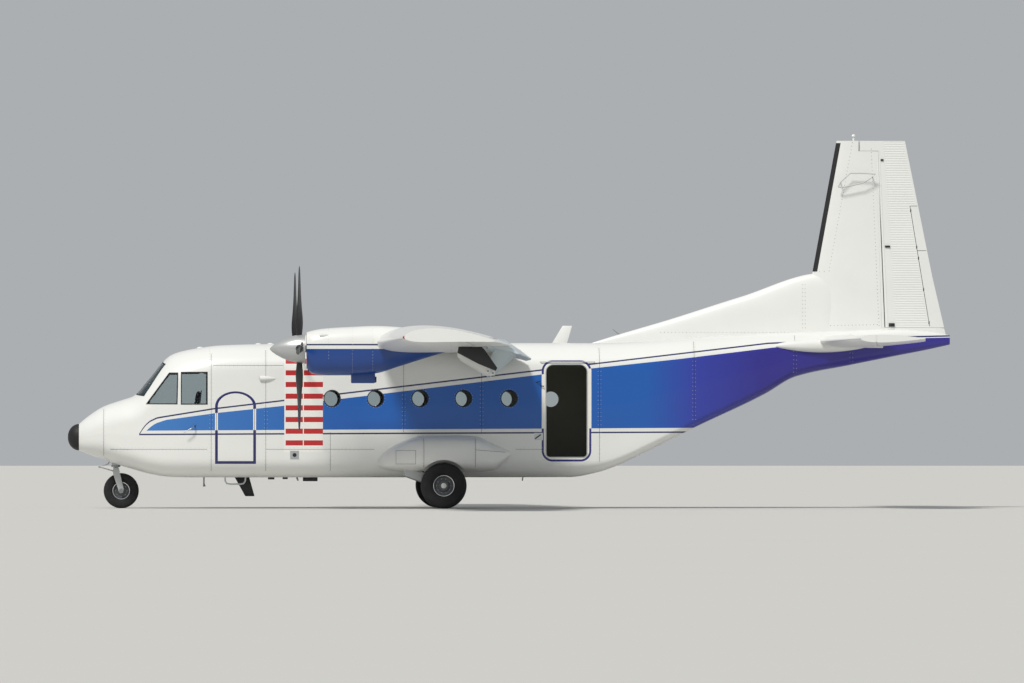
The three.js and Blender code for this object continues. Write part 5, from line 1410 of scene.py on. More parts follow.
def rudder_body():
    """The rudder with its level corrugations behind a smooth nose strip, and the horn above its hinge."""
    rings, horn = [], []
    for z in spread(RUDDER_FOOT, RUDDER_HORN.low - 1, 5):
        row = straight_row(FIN, z)
        _, x, radius = straight_row(RUDDER_HINGE, z)
        ring = level_rear_ring(row, chord_share(row, x), round_nose(x, 0, radius))
        rings.append(corrugated(ring, x, z))
    face = np.column_stack([np.full(4, RUDDER_HORN.front), np.linspace(-30, 30, 4)])
    for z in spread(RUDDER_HORN.low - 1, FIN_TOP, 5):
        row = straight_row(FIN, z)
        ring = level_rear_ring(row, chord_share(row, RUDDER_HORN.front), face)
        horn.append(corrugated(ring, RUDDER_HINGE[1][1], z))
    return together(loft(rings), loft(horn))


def corrugated(ring, hinge_x, z):
    """A section of the rudder, dented at the corrugations' depth for its height."""
    sheet = CORRUGATION
    ring = ring.copy()
    wave = math.cos(2 * math.pi * z / sheet.pitch)
    dent = sheet.deep * (0.5 - 0.5 * wave) ** 2
    start = between(sheet.front_low, sheet.front_high, (z - RUDDER_FOOT) / (FIN_TOP - RUDDER_FOOT))
    behind = np.clip((ring[:, 0] - hinge_x - start) / sheet.front_run, 0, 1)
    if z > TAB.top[0]:
        end = straight_row(FIN, z)[2] - sheet.rear_margin
    else:
        end = tab_front(z) - sheet.tab_margin
    ahead = np.clip((end - ring[:, 0]) / sheet.rear_run, 0, 1)
    ring[:, 1] -= np.sign(ring[:, 1]) * dent * behind * ahead
    return upright(ring, z)


def dorsal_foot(x):
    """The foot of the fin's front fairing, inside the thickness of the roof."""
    return high_line(x) - 30


def dorsal_body():
    rings = []
    for x, top, half in smooth_rows(DORSAL, spread(DORSAL[0][0], DORSAL[-1][0], 110)):
        turns = np.linspace(0, math.pi, 25)
        height = between(dorsal_foot(x), top, np.sin(turns) ** DORSAL_POWER)
        rings.append(np.column_stack([np.full(25, x), half * np.cos(turns), height]))
    return loft(rings)


def fin():
    foot = RUDDER_FOOT - MOVE_GAP
    rings = [fin_ring(z) for z in (foot, FIN[1][0], RUDDER_HORN.low - MOVE_GAP)]
    cap = [fin_cap_ring(z) for z in (RUDDER_HORN.low - MOVE_GAP, FIN_TOP)]
    under = [upright(level_ring(straight_row(FIN, z)), z) for z in (2940, foot)]
    body = together(loft(rings), loft(cap), loft(under), dorsal_body())
    piece("fin_skin", body, WHITE_PAINT, ["fin"], angle=THIN_ANGLE)
    piece("rudder_skin", rudder_body(), WHITE_PAINT, ["rudder"], "rudder", angle=40)
    boot = []
    for z in (FIN_BOOT.start, FIN_BOOT.end):
        row = straight_row(FIN, z)
        ring = level_ring(row, FIN_BOOT.long / (row[2] - row[1]))
        away = np.sign(ring - (row[1] + FIN_BOOT.long, 0))
        boot.append(upright(ring + away * FIN_BOOT.proud, z))
    piece("fin_boot", loft(boot), BOOT_RUBBER)


def elevator_hinge(y):
    """The tailplane's section, and the elevator's hinge line and nose radius, at one place along the span."""
    x = np.interp(y, *zip(*ELEVATOR.hinge))
    row = straight_row(TAIL, y)
    share = chord_share(row, x)
    return row, x, float((row[2] - row[1]) * half_thickness(share, row[3])) - 1


def tailplane_ring(y, side, hollow):
    """The fixed tailplane's section, with or without the hollow for the elevator's nose."""
    row, x, radius = elevator_hinge(y)
    nose = hollow_nose(x, 0, radius) if hollow else None
    return flat(level_ring(row, chord_share(row, x - 0.5 * radius), nose), side, y)


def elevator_ring(y, side):
    row, x, radius = elevator_hinge(y)
    return flat(level_rear_ring(row, chord_share(row, x), round_nose(x, 0, radius)), side, y)


def tailplane(name, side):
    bay_end = ELEVATOR.end + MOVE_GAP - 12
    rings = [tailplane_ring(y, side, True) for y in (TAIL[0][0], ELEVATOR.start - MOVE_GAP, bay_end)]
    tip = [tailplane_ring(y, side, False) for y in (bay_end, TAIL[-1][0])]
    piece(f"tailplane_skin_{name}", [loft(rings), loft(tip)], WHITE_PAINT, [f"tailplane_{name}"],
          angle=THIN_ANGLE)
    elevator = f"elevator_{name}"
    moving = [elevator_ring(y, side) for y in (ELEVATOR.start, ELEVATOR.end)]
    piece(f"elevator_skin_{name}", loft(moving), WHITE_PAINT, [elevator], elevator, angle=THIN_ANGLE)


# Undercarriage

def sponson(name, side):
    rows = smooth_rows(SPONSON, spread(SPONSON[0][0], SPONSON[-1][0], 40))
    rings = [rounded_ring(x, side * SPONSON_ROOT, (low + high) / 2, outer - SPONSON_ROOT, (high - low) / 2,
                          SPONSON_SQUARE, 56) for x, low, high, outer in rows]
    body = solid(f"sponson_fairing_{name}", loft(rings), WHITE_PAINT)
    arch = rod([(MAIN.x, side * y, MAIN.z) for y in (ARCH_INNER, 2100)], ARCH_RADIUS, 72)
    carve(body, arch, block((-2500, 100), sorted((0, side * 1100)), (300, 1500)))
    placed(body, [f"sponson_{name}"])


def main_leg(name, side):
    x, z = MAIN.x, MAIN.z
    outline = [(-1860, 700), (-1840, 560), (x - 20, z - 60), (x + 60, z - 40), (x + 60, z + 50),
               (x - 40, z + 90), (-1620, 640), (-1600, 760)]
    arm = prism(outline, side * MAIN_LEG.inner, side * MAIN_LEG.outer)
    y = side * MAIN_LEG.strut_y
    strut = rod([(x - 20, y, z + 20), (-1080, y, 800)], MAIN_LEG.strut_radius, 32)
    axle = rod([(x, side * y, z) for y in MAIN_LEG.axle], AXLE_RADIUS, 32)
    piece(f"main_arm_{name}", [arm, strut], LEG_ENAMEL, [f"main_leg_{name}"], soft=8)
    piece(f"main_axle_{name}", axle, STEEL, soft=2)


def wheel_body(wheel, y):
    """A dished rim, the same on both faces, with a bore for its axle."""
    half, rim = wheel.width / 2, wheel.rim
    bore = AXLE_RADIUS + SEAT_GAP
    outer = [(rim - 6, 0.74), (rim, 0.7), (rim - 8, 0.62), (rim * 0.86, 0.5), (rim * 0.74, 0.36),
             (rim * 0.6, 0.34), (rim * 0.5, 0.42), (rim * 0.44, 0.58), (bore + 14, 0.6), (bore, 0.58)]
    inner = [(r, -a) for r, a in outer[::-1]]
    profile = [(r, a * half) for r, a in outer + inner] + [(rim, -0.74 * half), (rim, 0.74 * half)]
    return lathe(profile, (wheel.x, y, wheel.z), "y", 72)


def tyre_body(wheel, y):
    half = wheel.width / 2
    inner = wheel.rim + SEAT_GAP
    wall = wheel.radius - inner
    one = [(inner + wall * r, a * half) for r, a in TYRE_SHAPE]
    other = [(r, -a) for r, a in one[::-1]][1:]
    return lathe(one + other, (wheel.x, y, wheel.z), "y", 96)


def wheels():
    for name, side in SIDES:
        main_leg(name, side)
        sponson(name, side)
        y, rider = side * MAIN.y, f"main_wheel_{name}"
        piece(f"main_rim_{name}", wheel_body(MAIN, y), RIM_METAL, [rider], rider)
        piece(f"main_rubber_{name}", tyre_body(MAIN, y), TYRE_RUBBER, [f"main_tyre_{name}"], rider)
        wheel_details(f"main_{name}", MAIN, y, rider, 10)
        hub_cap(f"main_{name}_hub_cap", MAIN, y, rider)
    wheel_details("nose", NOSE, 0, "nose_wheel", 8)
    piece("nose_rim", wheel_body(NOSE, 0), RIM_METAL, ["nose_wheel"], "nose_wheel")
    piece("nose_rubber", tyre_body(NOSE, 0), TYRE_RUBBER, ["nose_tyre"], "nose_wheel")


def nose_gear():
    inner, outer, tall = NOSE_LEG.inner, NOSE_LEG.outer, NOSE_LEG.tall
    points, faces = lathe([(inner, 0), (outer, 0), (outer, tall), (inner, tall)], (0, 0, 0), "y", 48)
    leg = points[:, [0, 2, 1]] + (STEERING_X, 0, LEG_BOTTOM)
    piece("nose_leg_tube", (leg, faces), LEG_ENAMEL, ["nose_leg"], soft=3)
    wheel_x, z = NOSE.x, NOSE.z
    side = NOSE.width / 2 + NOSE_FORK.side_gap
    crown_top = FORK_CROWN + NOSE_FORK.crown_tall
    outline = [(STEERING_X - 45, crown_top), (STEERING_X - 45, FORK_CROWN - 40), (wheel_x - 45, z),
               (wheel_x - 20, z - 45), (wheel_x + 30, z - 35), (wheel_x + 45, z + 30),
               (STEERING_X + 60, FORK_CROWN + 20), (STEERING_X + 50, crown_top)]
    legs = [prism(outline, way * side, way * (side + NOSE_FORK.leg_thick)) for _, way in SIDES]
    crown = block((STEERING_X - 45, STEERING_X + 50), (-side - 10, side + 10), (FORK_CROWN, crown_top))
    piece("nose_fork_frame", [crown, *legs], LEG_ENAMEL, ["nose_fork"], "nose_fork", soft=7)
    piston = rod([(STEERING_X, 0, FORK_CROWN + 10), (STEERING_X, 0, NOSE_FORK.piston_top)],
                 NOSE_FORK.piston_radius, 32)
    axle = rod([(wheel_x, way * (side + 34), z) for _, way in SIDES], AXLE_RADIUS - 0.5, 32)
    piece("nose_piston", [piston, axle], STEEL, rider="nose_fork")


# Window seals, frames and panes

def cockpit_glass_frames():
    outer = glass_bodies(GLASS_SEAL.wide)
    inner = glass_bodies(-GLASS_SEAL.lap)
    depths = (-GLASS_SEAL.proud, GLASS_SEAL.sunk)
    for name, shape, hole in zip(("side_window_seals", "windscreen_seals"), outer, inner):
        skin_layer(name, SEAL_RUBBER_AND_SHADE, (NOSE_JOINT, COCKPIT_REAR), depths, shape, hole)


def round_windows():
    length = (WINDOW_PLACES[0] - 300, STARBOARD_WINDOW + 300)
    skin_layer("round_window_seals", SEAL_RUBBER_AND_SHADE, length, (-WINDOW_SEAL.proud, WINDOW_SEAL.sunk),
               round_window_bodies(WINDOW_RADIUS + WINDOW_SEAL.wide),
               round_window_bodies(WINDOW_RADIUS - WINDOW_SEAL.lap))
    skin_layer("round_window_panes", WINDOW_ACRYLIC, length, (WINDOW_PANE.outer, WINDOW_PANE.inner),
               round_window_bodies(WINDOW_RADIUS - WINDOW_PANE.gap))
    rows = []
    for x, side in ROUND_WINDOWS:
        row = on_side(circle(x, WINDOW_HEIGHT, WINDOW_RADIUS + WINDOW_RIVETS.away, 24), side, -RIVET_SUNK)
        rows.append(np.concatenate([row, row[:1]]))
    rivets("window_rivets", rows, WINDOW_RIVETS.pitch, WINDOW_RIVETS.head, RIVET_PAINT)


# Rows of rivets, seams and small plates

def rivet_rows_tree():
    """Rivet heads along rows, a fixed pitch apart, each a slightly different size."""
    tree = bpy.data.node_groups.new("rivets along rows", "GeometryNodeTree")
    sockets = (("Rows", "INPUT", "NodeSocketGeometry"), ("Pitch", "INPUT", "NodeSocketFloat"),
               ("Head", "INPUT", "NodeSocketFloat"), ("Seed", "INPUT", "NodeSocketInt"),
               ("Finish", "INPUT", "NodeSocketMaterial"), ("Rivets", "OUTPUT", "NodeSocketGeometry"))
    for name, way, kind in sockets:
        tree.interface.new_socket(name, in_out=way, socket_type=kind)
    given = add_node(tree, "NodeGroupInput").outputs
    curve = add_node(tree, "GeometryNodeMeshToCurve", {"Mesh": given["Rows"]})
    even = add_node(tree, "GeometryNodeResampleCurve", {"Curve": curve.outputs[0], "Length": given["Pitch"]},
                    mode="LENGTH")
    head = add_node(tree, "GeometryNodeMeshIcoSphere", {"Radius": given["Head"], "Subdivisions": 2})
    size = add_node(tree, "FunctionNodeRandomValue", {2: 0.88, 3: 1.08, "Seed": given["Seed"]})
    heads = add_node(tree, "GeometryNodeInstanceOnPoints", {
        "Points": even.outputs[0], "Instance": head.outputs["Mesh"], "Scale": size.outputs[1]})
    real = add_node(tree, "GeometryNodeRealizeInstances", {0: heads.outputs[0]})
    painted = add_node(tree, "GeometryNodeSetMaterial", {
        "Geometry": real.outputs[0], "Material": given["Finish"]})
    add_node(tree, "NodeGroupOutput", {"Rivets": painted.outputs[0]})
    return tree


RIVET_TREE = rivet_rows_tree()


def rivets(name, rows, pitch, head, material):
    """Rivet or screw heads along rows of points, as one plain mesh."""
    edges, first = [], 0
    for row in rows:
        edges += [(first + k, first + k + 1) for k in range(len(row) - 1)]
        first += len(row)
    obj = as_object(name, np.concatenate(rows), [], edges=edges)
    step = obj.modifiers.new("rivets", "NODES")
    step.node_group = RIVET_TREE
    values = {"Pitch": pitch * MM, "Head": head * MM, "Seed": 7, "Finish": material}
    for item in RIVET_TREE.interface.items_tree:
        if item.name in values:
            step[item.identifier] = values[item.name]
    settled(obj)
    obj.data.shade_smooth()
    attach(obj, "airframe")


SEAM_WIDE = 5
SEAM_PROUD = 0.9
SEAM_RIVETS = Sizes(away=24, pitch=68, head=5.5)
FRAME_SEAMS = (
    # x, foot, top
    (-6963, 900, 1700),
    (-5130, 640, 2640),
    (-4200, 640, 2700),
    (-3100, 640, 1300),
    (-1850, 1300, 2500),
    (-520, 1300, 2500),
    (1494, 800, 2740),
    (3115, 1520, 2850),
    (4859, 2330, 2960),
    (5840, 2520, 2990),
)
LONG_SEAMS = (
    # height at the front, at the rear, first x, last x
    (1010, 1010, -6850, -5200),
    (1010, 1010, -4200, -2350),
    (2440, 2440, -5100, -3900),
    (1010, 1010, 60, 520),
)
ROOF_SEAMS = Sizes(places=(-5130, -4200, -3000, 1494, 3115), reach_down=330, pitch=75)
SEAM_STEP = 24
WING_ROWS = Sizes(across=(3700, 4650, 5600, 6200, 7300, 8400, 9300), flap_end=6200, flap_share=0.52,
                  aileron_share=0.66, along=(0.14, 0.5), start=3260, end=9440, pitch=82)
COWLING_ROWS = Sizes(pitch=52, sunk=2, rows=((-3163, -10, 190), (-2760, -60, 240), (-2420, -60, 240)))


def seam_line(start, end):
    return dense([start, end], SEAM_STEP, closed=False)


def fuselage_seams():
    lines = [seam_line((x, foot), (x, top)) for x, foot, top in FRAME_SEAMS]
    lines += [seam_line((first, front), (last, rear)) for front, rear, first, last in LONG_SEAMS]
    strips, rows = [], []
    for _, side in SIDES:
        for line in lines:
            strips.append(side_strip(line, side, SEAM_WIDE, SEAM_PROUD, closed=False))
            for _, way in SIDES:
                beside = offset_outline(line, way * SEAM_RIVETS.away, closed=False)
                rows.append(on_side(beside, side, -RIVET_SUNK))
    piece("fuselage_seams", strips, DARK_GAP)
    rivets("fuselage_rivets", rows, SEAM_RIVETS.pitch, SEAM_RIVETS.head, RIVET_PAINT)


def roof_seams():
    rows = []
    for x in ROOF_SEAMS.places:
        section = smooth_rows(HULL, x)[0]
        ring = hull_ring(section, RIVET_SUNK)
        roof = ring[ring[:, 2] > section[2] - ROOF_SEAMS.reach_down]
        roof = roof[np.argsort(roof[:, 1])]
        rows += [roof + (way * SEAM_RIVETS.away, 0, 0) for _, way in SIDES]
    rivets("roof_rivets", rows, ROOF_SEAMS.pitch, SEAM_RIVETS.head, RIVET_PAINT)


def sponson_side(x, z, out=0.0):
    """How far the outer face of the wheel fairing lies from the centre plane."""
    _, low, high, outer = smooth_rows(SPONSON, x)[0]
    rise = min(0.999, abs(z - (low + high) / 2) / ((high - low) / 2))
    reach = (1 - rise**SPONSON_SQUARE) ** (1 / SPONSON_SQUARE)
    return SPONSON_ROOT + (outer - SPONSON_ROOT) * reach + out


SPONSON_LINES = (
    # x and height of the start, x and height of the end
    ((-1520, 700), (-1520, 1205)),
    ((-640, 700), (-640, 1200)),
    ((-640, 1000), (-120, 960)),
)
SPONSON_HATCH = ((-1990, 760), (-1660, 760), (-1660, 990), (-1990, 990))
SPONSON_SEAM = Sizes(proud=1.8, hatch_wide=4, rivets_away=22, rivets_sunk=2, pitch=60)


def sponson_details():
    seam = SPONSON_SEAM
    strips, rows = [], []
    for _, side in SIDES:
        for start, end in SPONSON_LINES:
            line = seam_line(start, end)
            strips.append(side_strip(line, side, SEAM_WIDE, seam.proud, closed=False, surface=sponson_side))
            beside = offset_outline(line, seam.rivets_away, closed=False)
            rows.append(on_side(beside, side, -seam.rivets_sunk, sponson_side))
        hatch = dense(SPONSON_HATCH, SEAM_STEP)
        strips.append(side_strip(hatch, side, seam.hatch_wide, seam.proud, surface=sponson_side))
    piece("wheel_fairing_seams", strips, DARK_GAP)
    rivets("wheel_fairing_rivets", rows, seam.pitch, SEAM_RIVETS.head, RIVET_PAINT)


def wing_rows():
    """The rivet rows on the wing: across it at its ribs and along its spars."""
    rows = []
    for _, side in SIDES:
        for top, out in ((True, -RIVET_SUNK), (False, RIVET_SUNK)):
            for y in WING_ROWS.across:
                last = WING_ROWS.flap_share if y < WING_ROWS.flap_end else WING_ROWS.aileron_share
                points = wing_surface(y, np.linspace(0.05, last, 14), top)
                rows.append(np.column_stack([points[:, 0], np.full(14, side * y), points[:, 1] + out]))
            for share in WING_ROWS.along:
                places = np.linspace(WING_ROWS.start, WING_ROWS.end, 20)
                points = np.array([wing_surface(y, [share], top)[0] for y in places])
                rows.append(np.column_stack([points[:, 0], side * places, points[:, 1] + out]))
    rivets("wing_rivets", rows, WING_ROWS.pitch, SEAM_RIVETS.head, RIVET_PAINT)


def nacelle_rows():
    """The rivet rows round the cowlings, each at an x and between two angles."""
    rows = []
    for x, first, last in COWLING_ROWS.rows:
        _, low, high, half = smooth_rows(NACELLE, x)[0]
        turns = np.radians(np.linspace(first, last, 40))
        for _, side in SIDES:
            rows.append(rounded_arc(x, side * PROPELLER.y, (low + high) / 2, half - COWLING_ROWS.sunk,
                                    (high - low) / 2 - COWLING_ROWS.sunk, NACELLE_SQUARE, turns))
    rivets("cowling_rivets", rows, COWLING_ROWS.pitch, SEAM_RIVETS.head, RIVET_PAINT)


# The fin's details

def fin_half(x, z):
    row = straight_row(FIN, z)
    return float((row[2] - row[1]) * half_thickness(chord_share(row, x), row[3]))


def on_fin(places, side, out=0.0):
    return np.array([(x, side * (fin_half(x, z) + out), z) for x, z in places])


def dorsal_half(x, z):
    """Half the thickness of the fin's front fairing at one place."""
    _, top, half = smooth_rows(DORSAL, x)[0]
    share = max(0.0, (z - dorsal_foot(x)) / (top - dorsal_foot(x)))
    rise = min(0.999, share ** (1 / DORSAL_POWER))
    return half * math.sqrt(1 - rise**2)


TAB = Sizes(top=(5200, 6901), foot=(3130, 7238), split=4431)
FIN_RIVET_LINES = (
    # x and height of the start, x and height of the end
    ((5905, 6290), (5500, 4080)),
    ((5500, 4080), (5260, 4060)),
    ((6230, 6180), (6360, 3140)),
    ((5400, 3135), (6330, 3155)),
)
DORSAL_RIVETS = Sizes(columns=(5040, 5085), start=3100, end=3840, row=3020, row_from=2600, row_to=5360,
                      step=60)
RUDDER_HINGES = (
    # height, how tall, how far back it reaches
    (5990, 34, 60),
    (4500, 34, 100),
    (3150, 60, 112),
)
TAB_HINGES = Sizes(heights=(5120, 4490, 4300, 3760, 3190), half_long=9, half_tall=24, proud=5)


def tab_front(z):
    """Where the rudder's tabs begin, along their hinge line."""
    (z_top, x_top), (z_foot, x_foot) = TAB.top, TAB.foot
    return between(x_foot, x_top, (z - z_foot) / (z_top - z_foot))


def fin_strip(places, width, proud=0.8, sunk=4):
    """A thin strip on both faces of the fin along a line of (x, z) places."""
    near, far = [offset_outline(places, way * width / 2, closed=False) for _, way in SIDES]
    bodies = []
    for _, side in SIDES:
        rails = [on_fin(edge, side, out)
                 for edge, out in ((near, proud), (far, proud), (far, -sunk), (near, -sunk))]
        bodies.append(loft(np.stack(rails, axis=1)))
    return together(*bodies)


def fin_details():
    """The rudder tabs' gaps, the rivets, the dark rear edge of the fin and the hinge fittings."""
    tab_line = [(tab_front(z), z) for z in spread(TAB.foot[0], TAB.top[0], 90)]
    ends = [[(tab_front(z), z), (straight_row(FIN, z)[2] - 12, z)] for z in (TAB.split, TAB.top[0])]
    gaps = [fin_strip(tab_line, 9), *[fin_strip(end, 8) for end in ends]]
    piece("rudder_tab_gaps", gaps, DARK_GAP, rider="rudder")
    fin_rivets()
    edge = []
    for z in spread(RUDDER_FOOT, RUDDER_HINGE[1][0] - 10, 120):
        _, x, radius = straight_row(RUDDER_HINGE, z)
        edge.append((x - 0.5 * radius - 8, z))
    piece("fin_rear_edge", fin_strip(edge, 11), DARK_GAP)
    hinges = []
    for z, tall, reach in RUDDER_HINGES:
        _, x, radius = straight_row(RUDDER_HINGE, z)
        hinges.append(block((x + 12, x + reach), (-radius - 7, radius + 7), (z - tall / 2, z + tall / 2)))
    for z in TAB_HINGES.heights:
        x = tab_front(z)
        half = fin_half(x, z) + TAB_HINGES.proud
        hinges.append(block((x - TAB_HINGES.half_long, x + TAB_HINGES.half_long), (-half, half),
                            (z - TAB_HINGES.half_tall, z + TAB_HINGES.half_tall)))
    piece("rudder_hinge_fittings", hinges, BLACK_PAINT_AND_SHADE, rider="rudder", soft=3)


def fin_rivets():
    spots = DORSAL_RIVETS
    rows = []
    for _, side in SIDES:
        for line in FIN_RIVET_LINES:
            rows.append(on_fin(seam_line(*line), side, -RIVET_SUNK))
        for x in spots.columns:
            rows.append(np.array([(x, side * (dorsal_half(x, z) - RIVET_SUNK), z)
                                  for z in spread(spots.start, spots.end, spots.step)]))
        z = spots.row
        rows.append(np.array([(x, side * (max(dorsal_half(x, z), 30) - RIVET_SUNK), z)
                              for x in spread(spots.row_from, spots.row_to, spots.step)]))
    rivets("fin_rivets", rows, 62, 7, WORN_RIVETS)


LOOP_AERIAL = ((5651, 5524), (5690, 5600), (5860, 5760), (6090, 5757), (6298, 5743), (6200, 5665),
               (6078, 5590), (5850, 5535), (5700, 5512), (5651, 5524))
LOOP_FEET = ((5690, 5600), (6240, 5700))
LOOP_AWAY = 175
BEACON = Sizes(x=5930, foot=6300, stem_top=6378, middle=6404, radius=34)
FILLET = Sizes(front=4524, rear=6395, skin_height=2790, height=2780, root=60)


def tail_aerials():
    bodies = []
    for _, side in SIDES:
        y = side * LOOP_AWAY
        bodies.append(rod([(x, y, z) for x, z in LOOP_AERIAL], 10, 12))
        for x, z in LOOP_FEET:
            bodies.append(rod([(x, y, z), (x + 10, side * (fin_half(x, z) - 4), z)], 10, 12))
    piece("navigation_loop_aerials", bodies, LEG_ENAMEL)
    x, radius = BEACON.x, BEACON.radius
    stem = rod([(x, 0, BEACON.foot), (x, 0, BEACON.stem_top)], (24, 18), 24)
    piece("beacon_stem", stem, WHITE_PAINT)
    turns = np.linspace(-math.pi / 2, math.pi / 2, 13)
    globe = rod([(x, 0, BEACON.middle + radius * math.sin(t)) for t in turns],
                [max(1.0, radius * math.cos(t)) for t in turns], 32)
    piece("beacon_globe", globe, CLEAR_LENS)


def tail_fillets():
    """The fairings between tailplane and fuselage."""
    root = FILLET.root
    for name, side in SIDES:
        rings = []
        for share in np.linspace(0, 1, 30):
            x = between(FILLET.front, FILLET.rear, share)
            swell = math.sin(math.pi * min(1.0, share * 1.15 + 0.02)) ** 0.7 if share < 0.86 else 0.2
            y = side * (skin_half(x, FILLET.skin_height) - root)
            rings.append(rounded_ring(x, y, FILLET.height, root + 95 * swell + 8, 18 + 98 * swell, 2.4, 40))
        piece(f"tail_fillet_{name}", loft(rings), WHITE_PAINT)


# Small fittings outside

BELLY_BLADE = ((-4730, 545), (-4475, 545), (-4380, 205), (-4540, 205))
ROOF_BLADE = ((718, 2810), (913, 3134), (1078, 3134), (985, 2810))
FIN_WHIP = ((1932, 2960), (1850, 3010), (1777, 3075))
ROOF_DOMES = ((-5314, 60), (-4318, 55), (-4112, 55))
BELLY_BOXES = (
    # first x, last x, half width, foot
    (-3550, -3300, 150, 462),
    (-4150, -4040, 60, 492),
    (-3900, -3810, 50, 498),
)
BELLY_INSIDE = 545
DRAINS = (
    # path of (x, y, z) points, radius, sides
    (((-5250, -160, BELLY_INSIDE), (-5250, -160, 420), (-5243, -160, 372)), (13, 13, 24), 20),
    (((222, -180, BELLY_INSIDE), (215, -180, 470)), 12, 16),
    (((-3660, 220, BELLY_INSIDE), (-3630, 220, 470)), 14, 16),
)
STEP_RAIL = ((-4890, 560), (-4888, 470), (-4862, 425), (-4800, 415), (-4640, 415), (-4575, 425), (-4545, 470),
             (-4540, 560))
STEP = Sizes(rails=(-560, -780), treads=(-4790, -4715, -4640), tread_height=416)
VENT_PLATE = (-3785, -3635, 840, 985)
PORT_PLATE = (380, 530, 1165, 1290)
VENT = (-3709, 912, 34, 28)
DOOR_LEVERS = (
    # x, height, run, rise
    (415, 2150, 70, 22),
    (480, 2095, 62, -12),
    (395, 1190, 95, 70),
)
PITOT = (
    # x, way out from the skin, height, radius
    (-5400, -6, 1415, 13),
    (-5425, 62, 1392, 11),
    (-5470, 84, 1365, 10),
    (-5590, 84, 1300, 7),
)
SIDE_SCOOP = (
    # x, half width, half height
    (-4300, 44, 40),
    (-4240, 46, 42),
    (-4160, 38, 34),
    (-4080, 20, 20),
    (-4030, 4, 6),
)
SCOOP_HEIGHT = 2215
COWLING_SCOOP = (
    # x, way in towards the engine's axis, height, radius
    (-3310, 0, 2930, 30),
    (-3270, 0, 2932, 33),
    (-3180, 10, 2925, 26),
    (-3110, 22, 2910, 6),
)
SCOOP_AWAY = 292
EXHAUST = Sizes(away=62, front=(-2640, 2192), rear=(-2352, 2186), radius=50, bore=43)
TIP_LAMP = (
    # x behind the leading edge, half width, half height
    (-26, 6, 5),
    (-18, 22, 17),
    (6, 34, 26),
    (60, 40, 34),
)
FLAP_END_PLATE = ((-1100, 2600), (-760, 2420), (-470, 2300), (-440, 2350), (-640, 2640), (-700, 2700),
                  (-1080, 2700))


def aerials():
    # The belly aerial is drawn in black paint, which stands for the shade under the belly: painted shade.
    piece("belly_blade_aerial", prism(BELLY_BLADE, -14, 14), BLACK_PAINT_AND_SHADE, soft=10)
    piece("roof_blade_aerial", prism(ROOF_BLADE, -12, 12), WHITE_PAINT, soft=9)
    piece("whip_aerial", rod([(x, 0, z) for x, z in FIN_WHIP], (9, 7, 4), 12), STEEL)
    domes = []
    for x, radius in ROOF_DOMES:
        top = high_line(x)
        turns = np.linspace(0, math.pi / 2, 9)
        heights = [top - 8, *[top + 26 * math.sin(t) for t in turns]]
        radii = [radius, *[max(1.5, radius * math.cos(t)) for t in turns]]
        domes.append(rod([(x, 0, z) for z in heights], radii, 40))
    piece("roof_dome_aerials", domes, WHITE_PAINT)


def belly_fittings():
    boxes = [block((first, last), (-half, half), (foot, 540)) for first, last, half, foot in BELLY_BOXES]
    piece("belly_boxes", boxes, BLACK_PAINT_AND_SHADE, soft=8)
    piece("drain_masts", [rod(*drain) for drain in DRAINS], STEEL)
    rails = [rod([(x, y, z) for x, z in STEP_RAIL], 13, 16) for y in STEP.rails]
    treads = [rod([(x, y, STEP.tread_height) for y in STEP.rails], 12, 16) for x in STEP.treads]
    piece("crew_step", [*rails, *treads], LEG_ENAMEL)


def side_plate(places, side, proud, sunk=3.0):
    """A thin plate that lies on the side."""
    return loft([on_side(places, side, -sunk), on_side(places, side, proud)])


def rectangle(front, rear, low, high):
    return [(front, low), (rear, low), (rear, high), (front, high)]


def side_fittings():
    plates = [side_plate(rectangle(*VENT_PLATE), side, 1.2) for _, side in SIDES]
    plates.append(side_plate(rectangle(*PORT_PLATE), -1, 1.2))
    piece("static_vent_plates", plates, FRAME_METAL)
    vents = [side_plate(circle(*VENT), side, 3.5) for _, side in SIDES]
    levers = []
    for x, z, run, rise in DOOR_LEVERS:
        y = -skin_half(x, z)
        path = [(x, y + 6, z), (x + run * 0.2, y - 26, z + rise * 0.2), (x + run, y - 26, z + rise)]
        levers.append(rod(path, 9, 14))
    piece("door_levers_and_vents", [*vents, *levers], SEAL_RUBBER_AND_SHADE)
    y = -skin_half(900, 2500)
    rail = rod([(480, y + 5, 2502), (490, y - 24, 2500), (1400, y - 24, 2500), (1410, y + 5, 2502)], 8, 14)
    piece("rear_door_rail", rail, LEG_ENAMEL)
    probes = []
    for _, side in SIDES:
        y = side * skin_half(PITOT[0][0], PITOT[0][2])
        probes.append(rod([(x, y + side * out, z) for x, out, z, _ in PITOT], [row[3] for row in PITOT], 16))
    piece("pitot_probes", probes, STEEL)
    for name, side in SIDES:
        side_scoop(name, side * skin_half(-4180, SCOOP_HEIGHT))
    frame = side_strip(dense(rear_door_outline(6), 60), -1, 14, 5)
    piece("rear_door_edge_frame", frame, FRAME_METAL)


def side_scoop(name, y):
    rings = [rounded_ring(x, y, SCOOP_HEIGHT, wide, tall, 2.2, 32) for x, wide, tall in SIDE_SCOOP]
    piece(f"side_scoop_{name}", loft(rings), WHITE_PAINT)
    front, wide, tall = SIDE_SCOOP[0]
    # The scoop's open mouth is a dark disc: painted shade inside the opening.
    mouth = [rounded_ring(x, y, SCOOP_HEIGHT, wide - 6, tall - 6, 2.2, 32) for x in (front - 1.5, front + 4)]
    piece(f"side_scoop_mouth_shade_{name}", loft(mouth), SEAL_RUBBER_AND_SHADE)


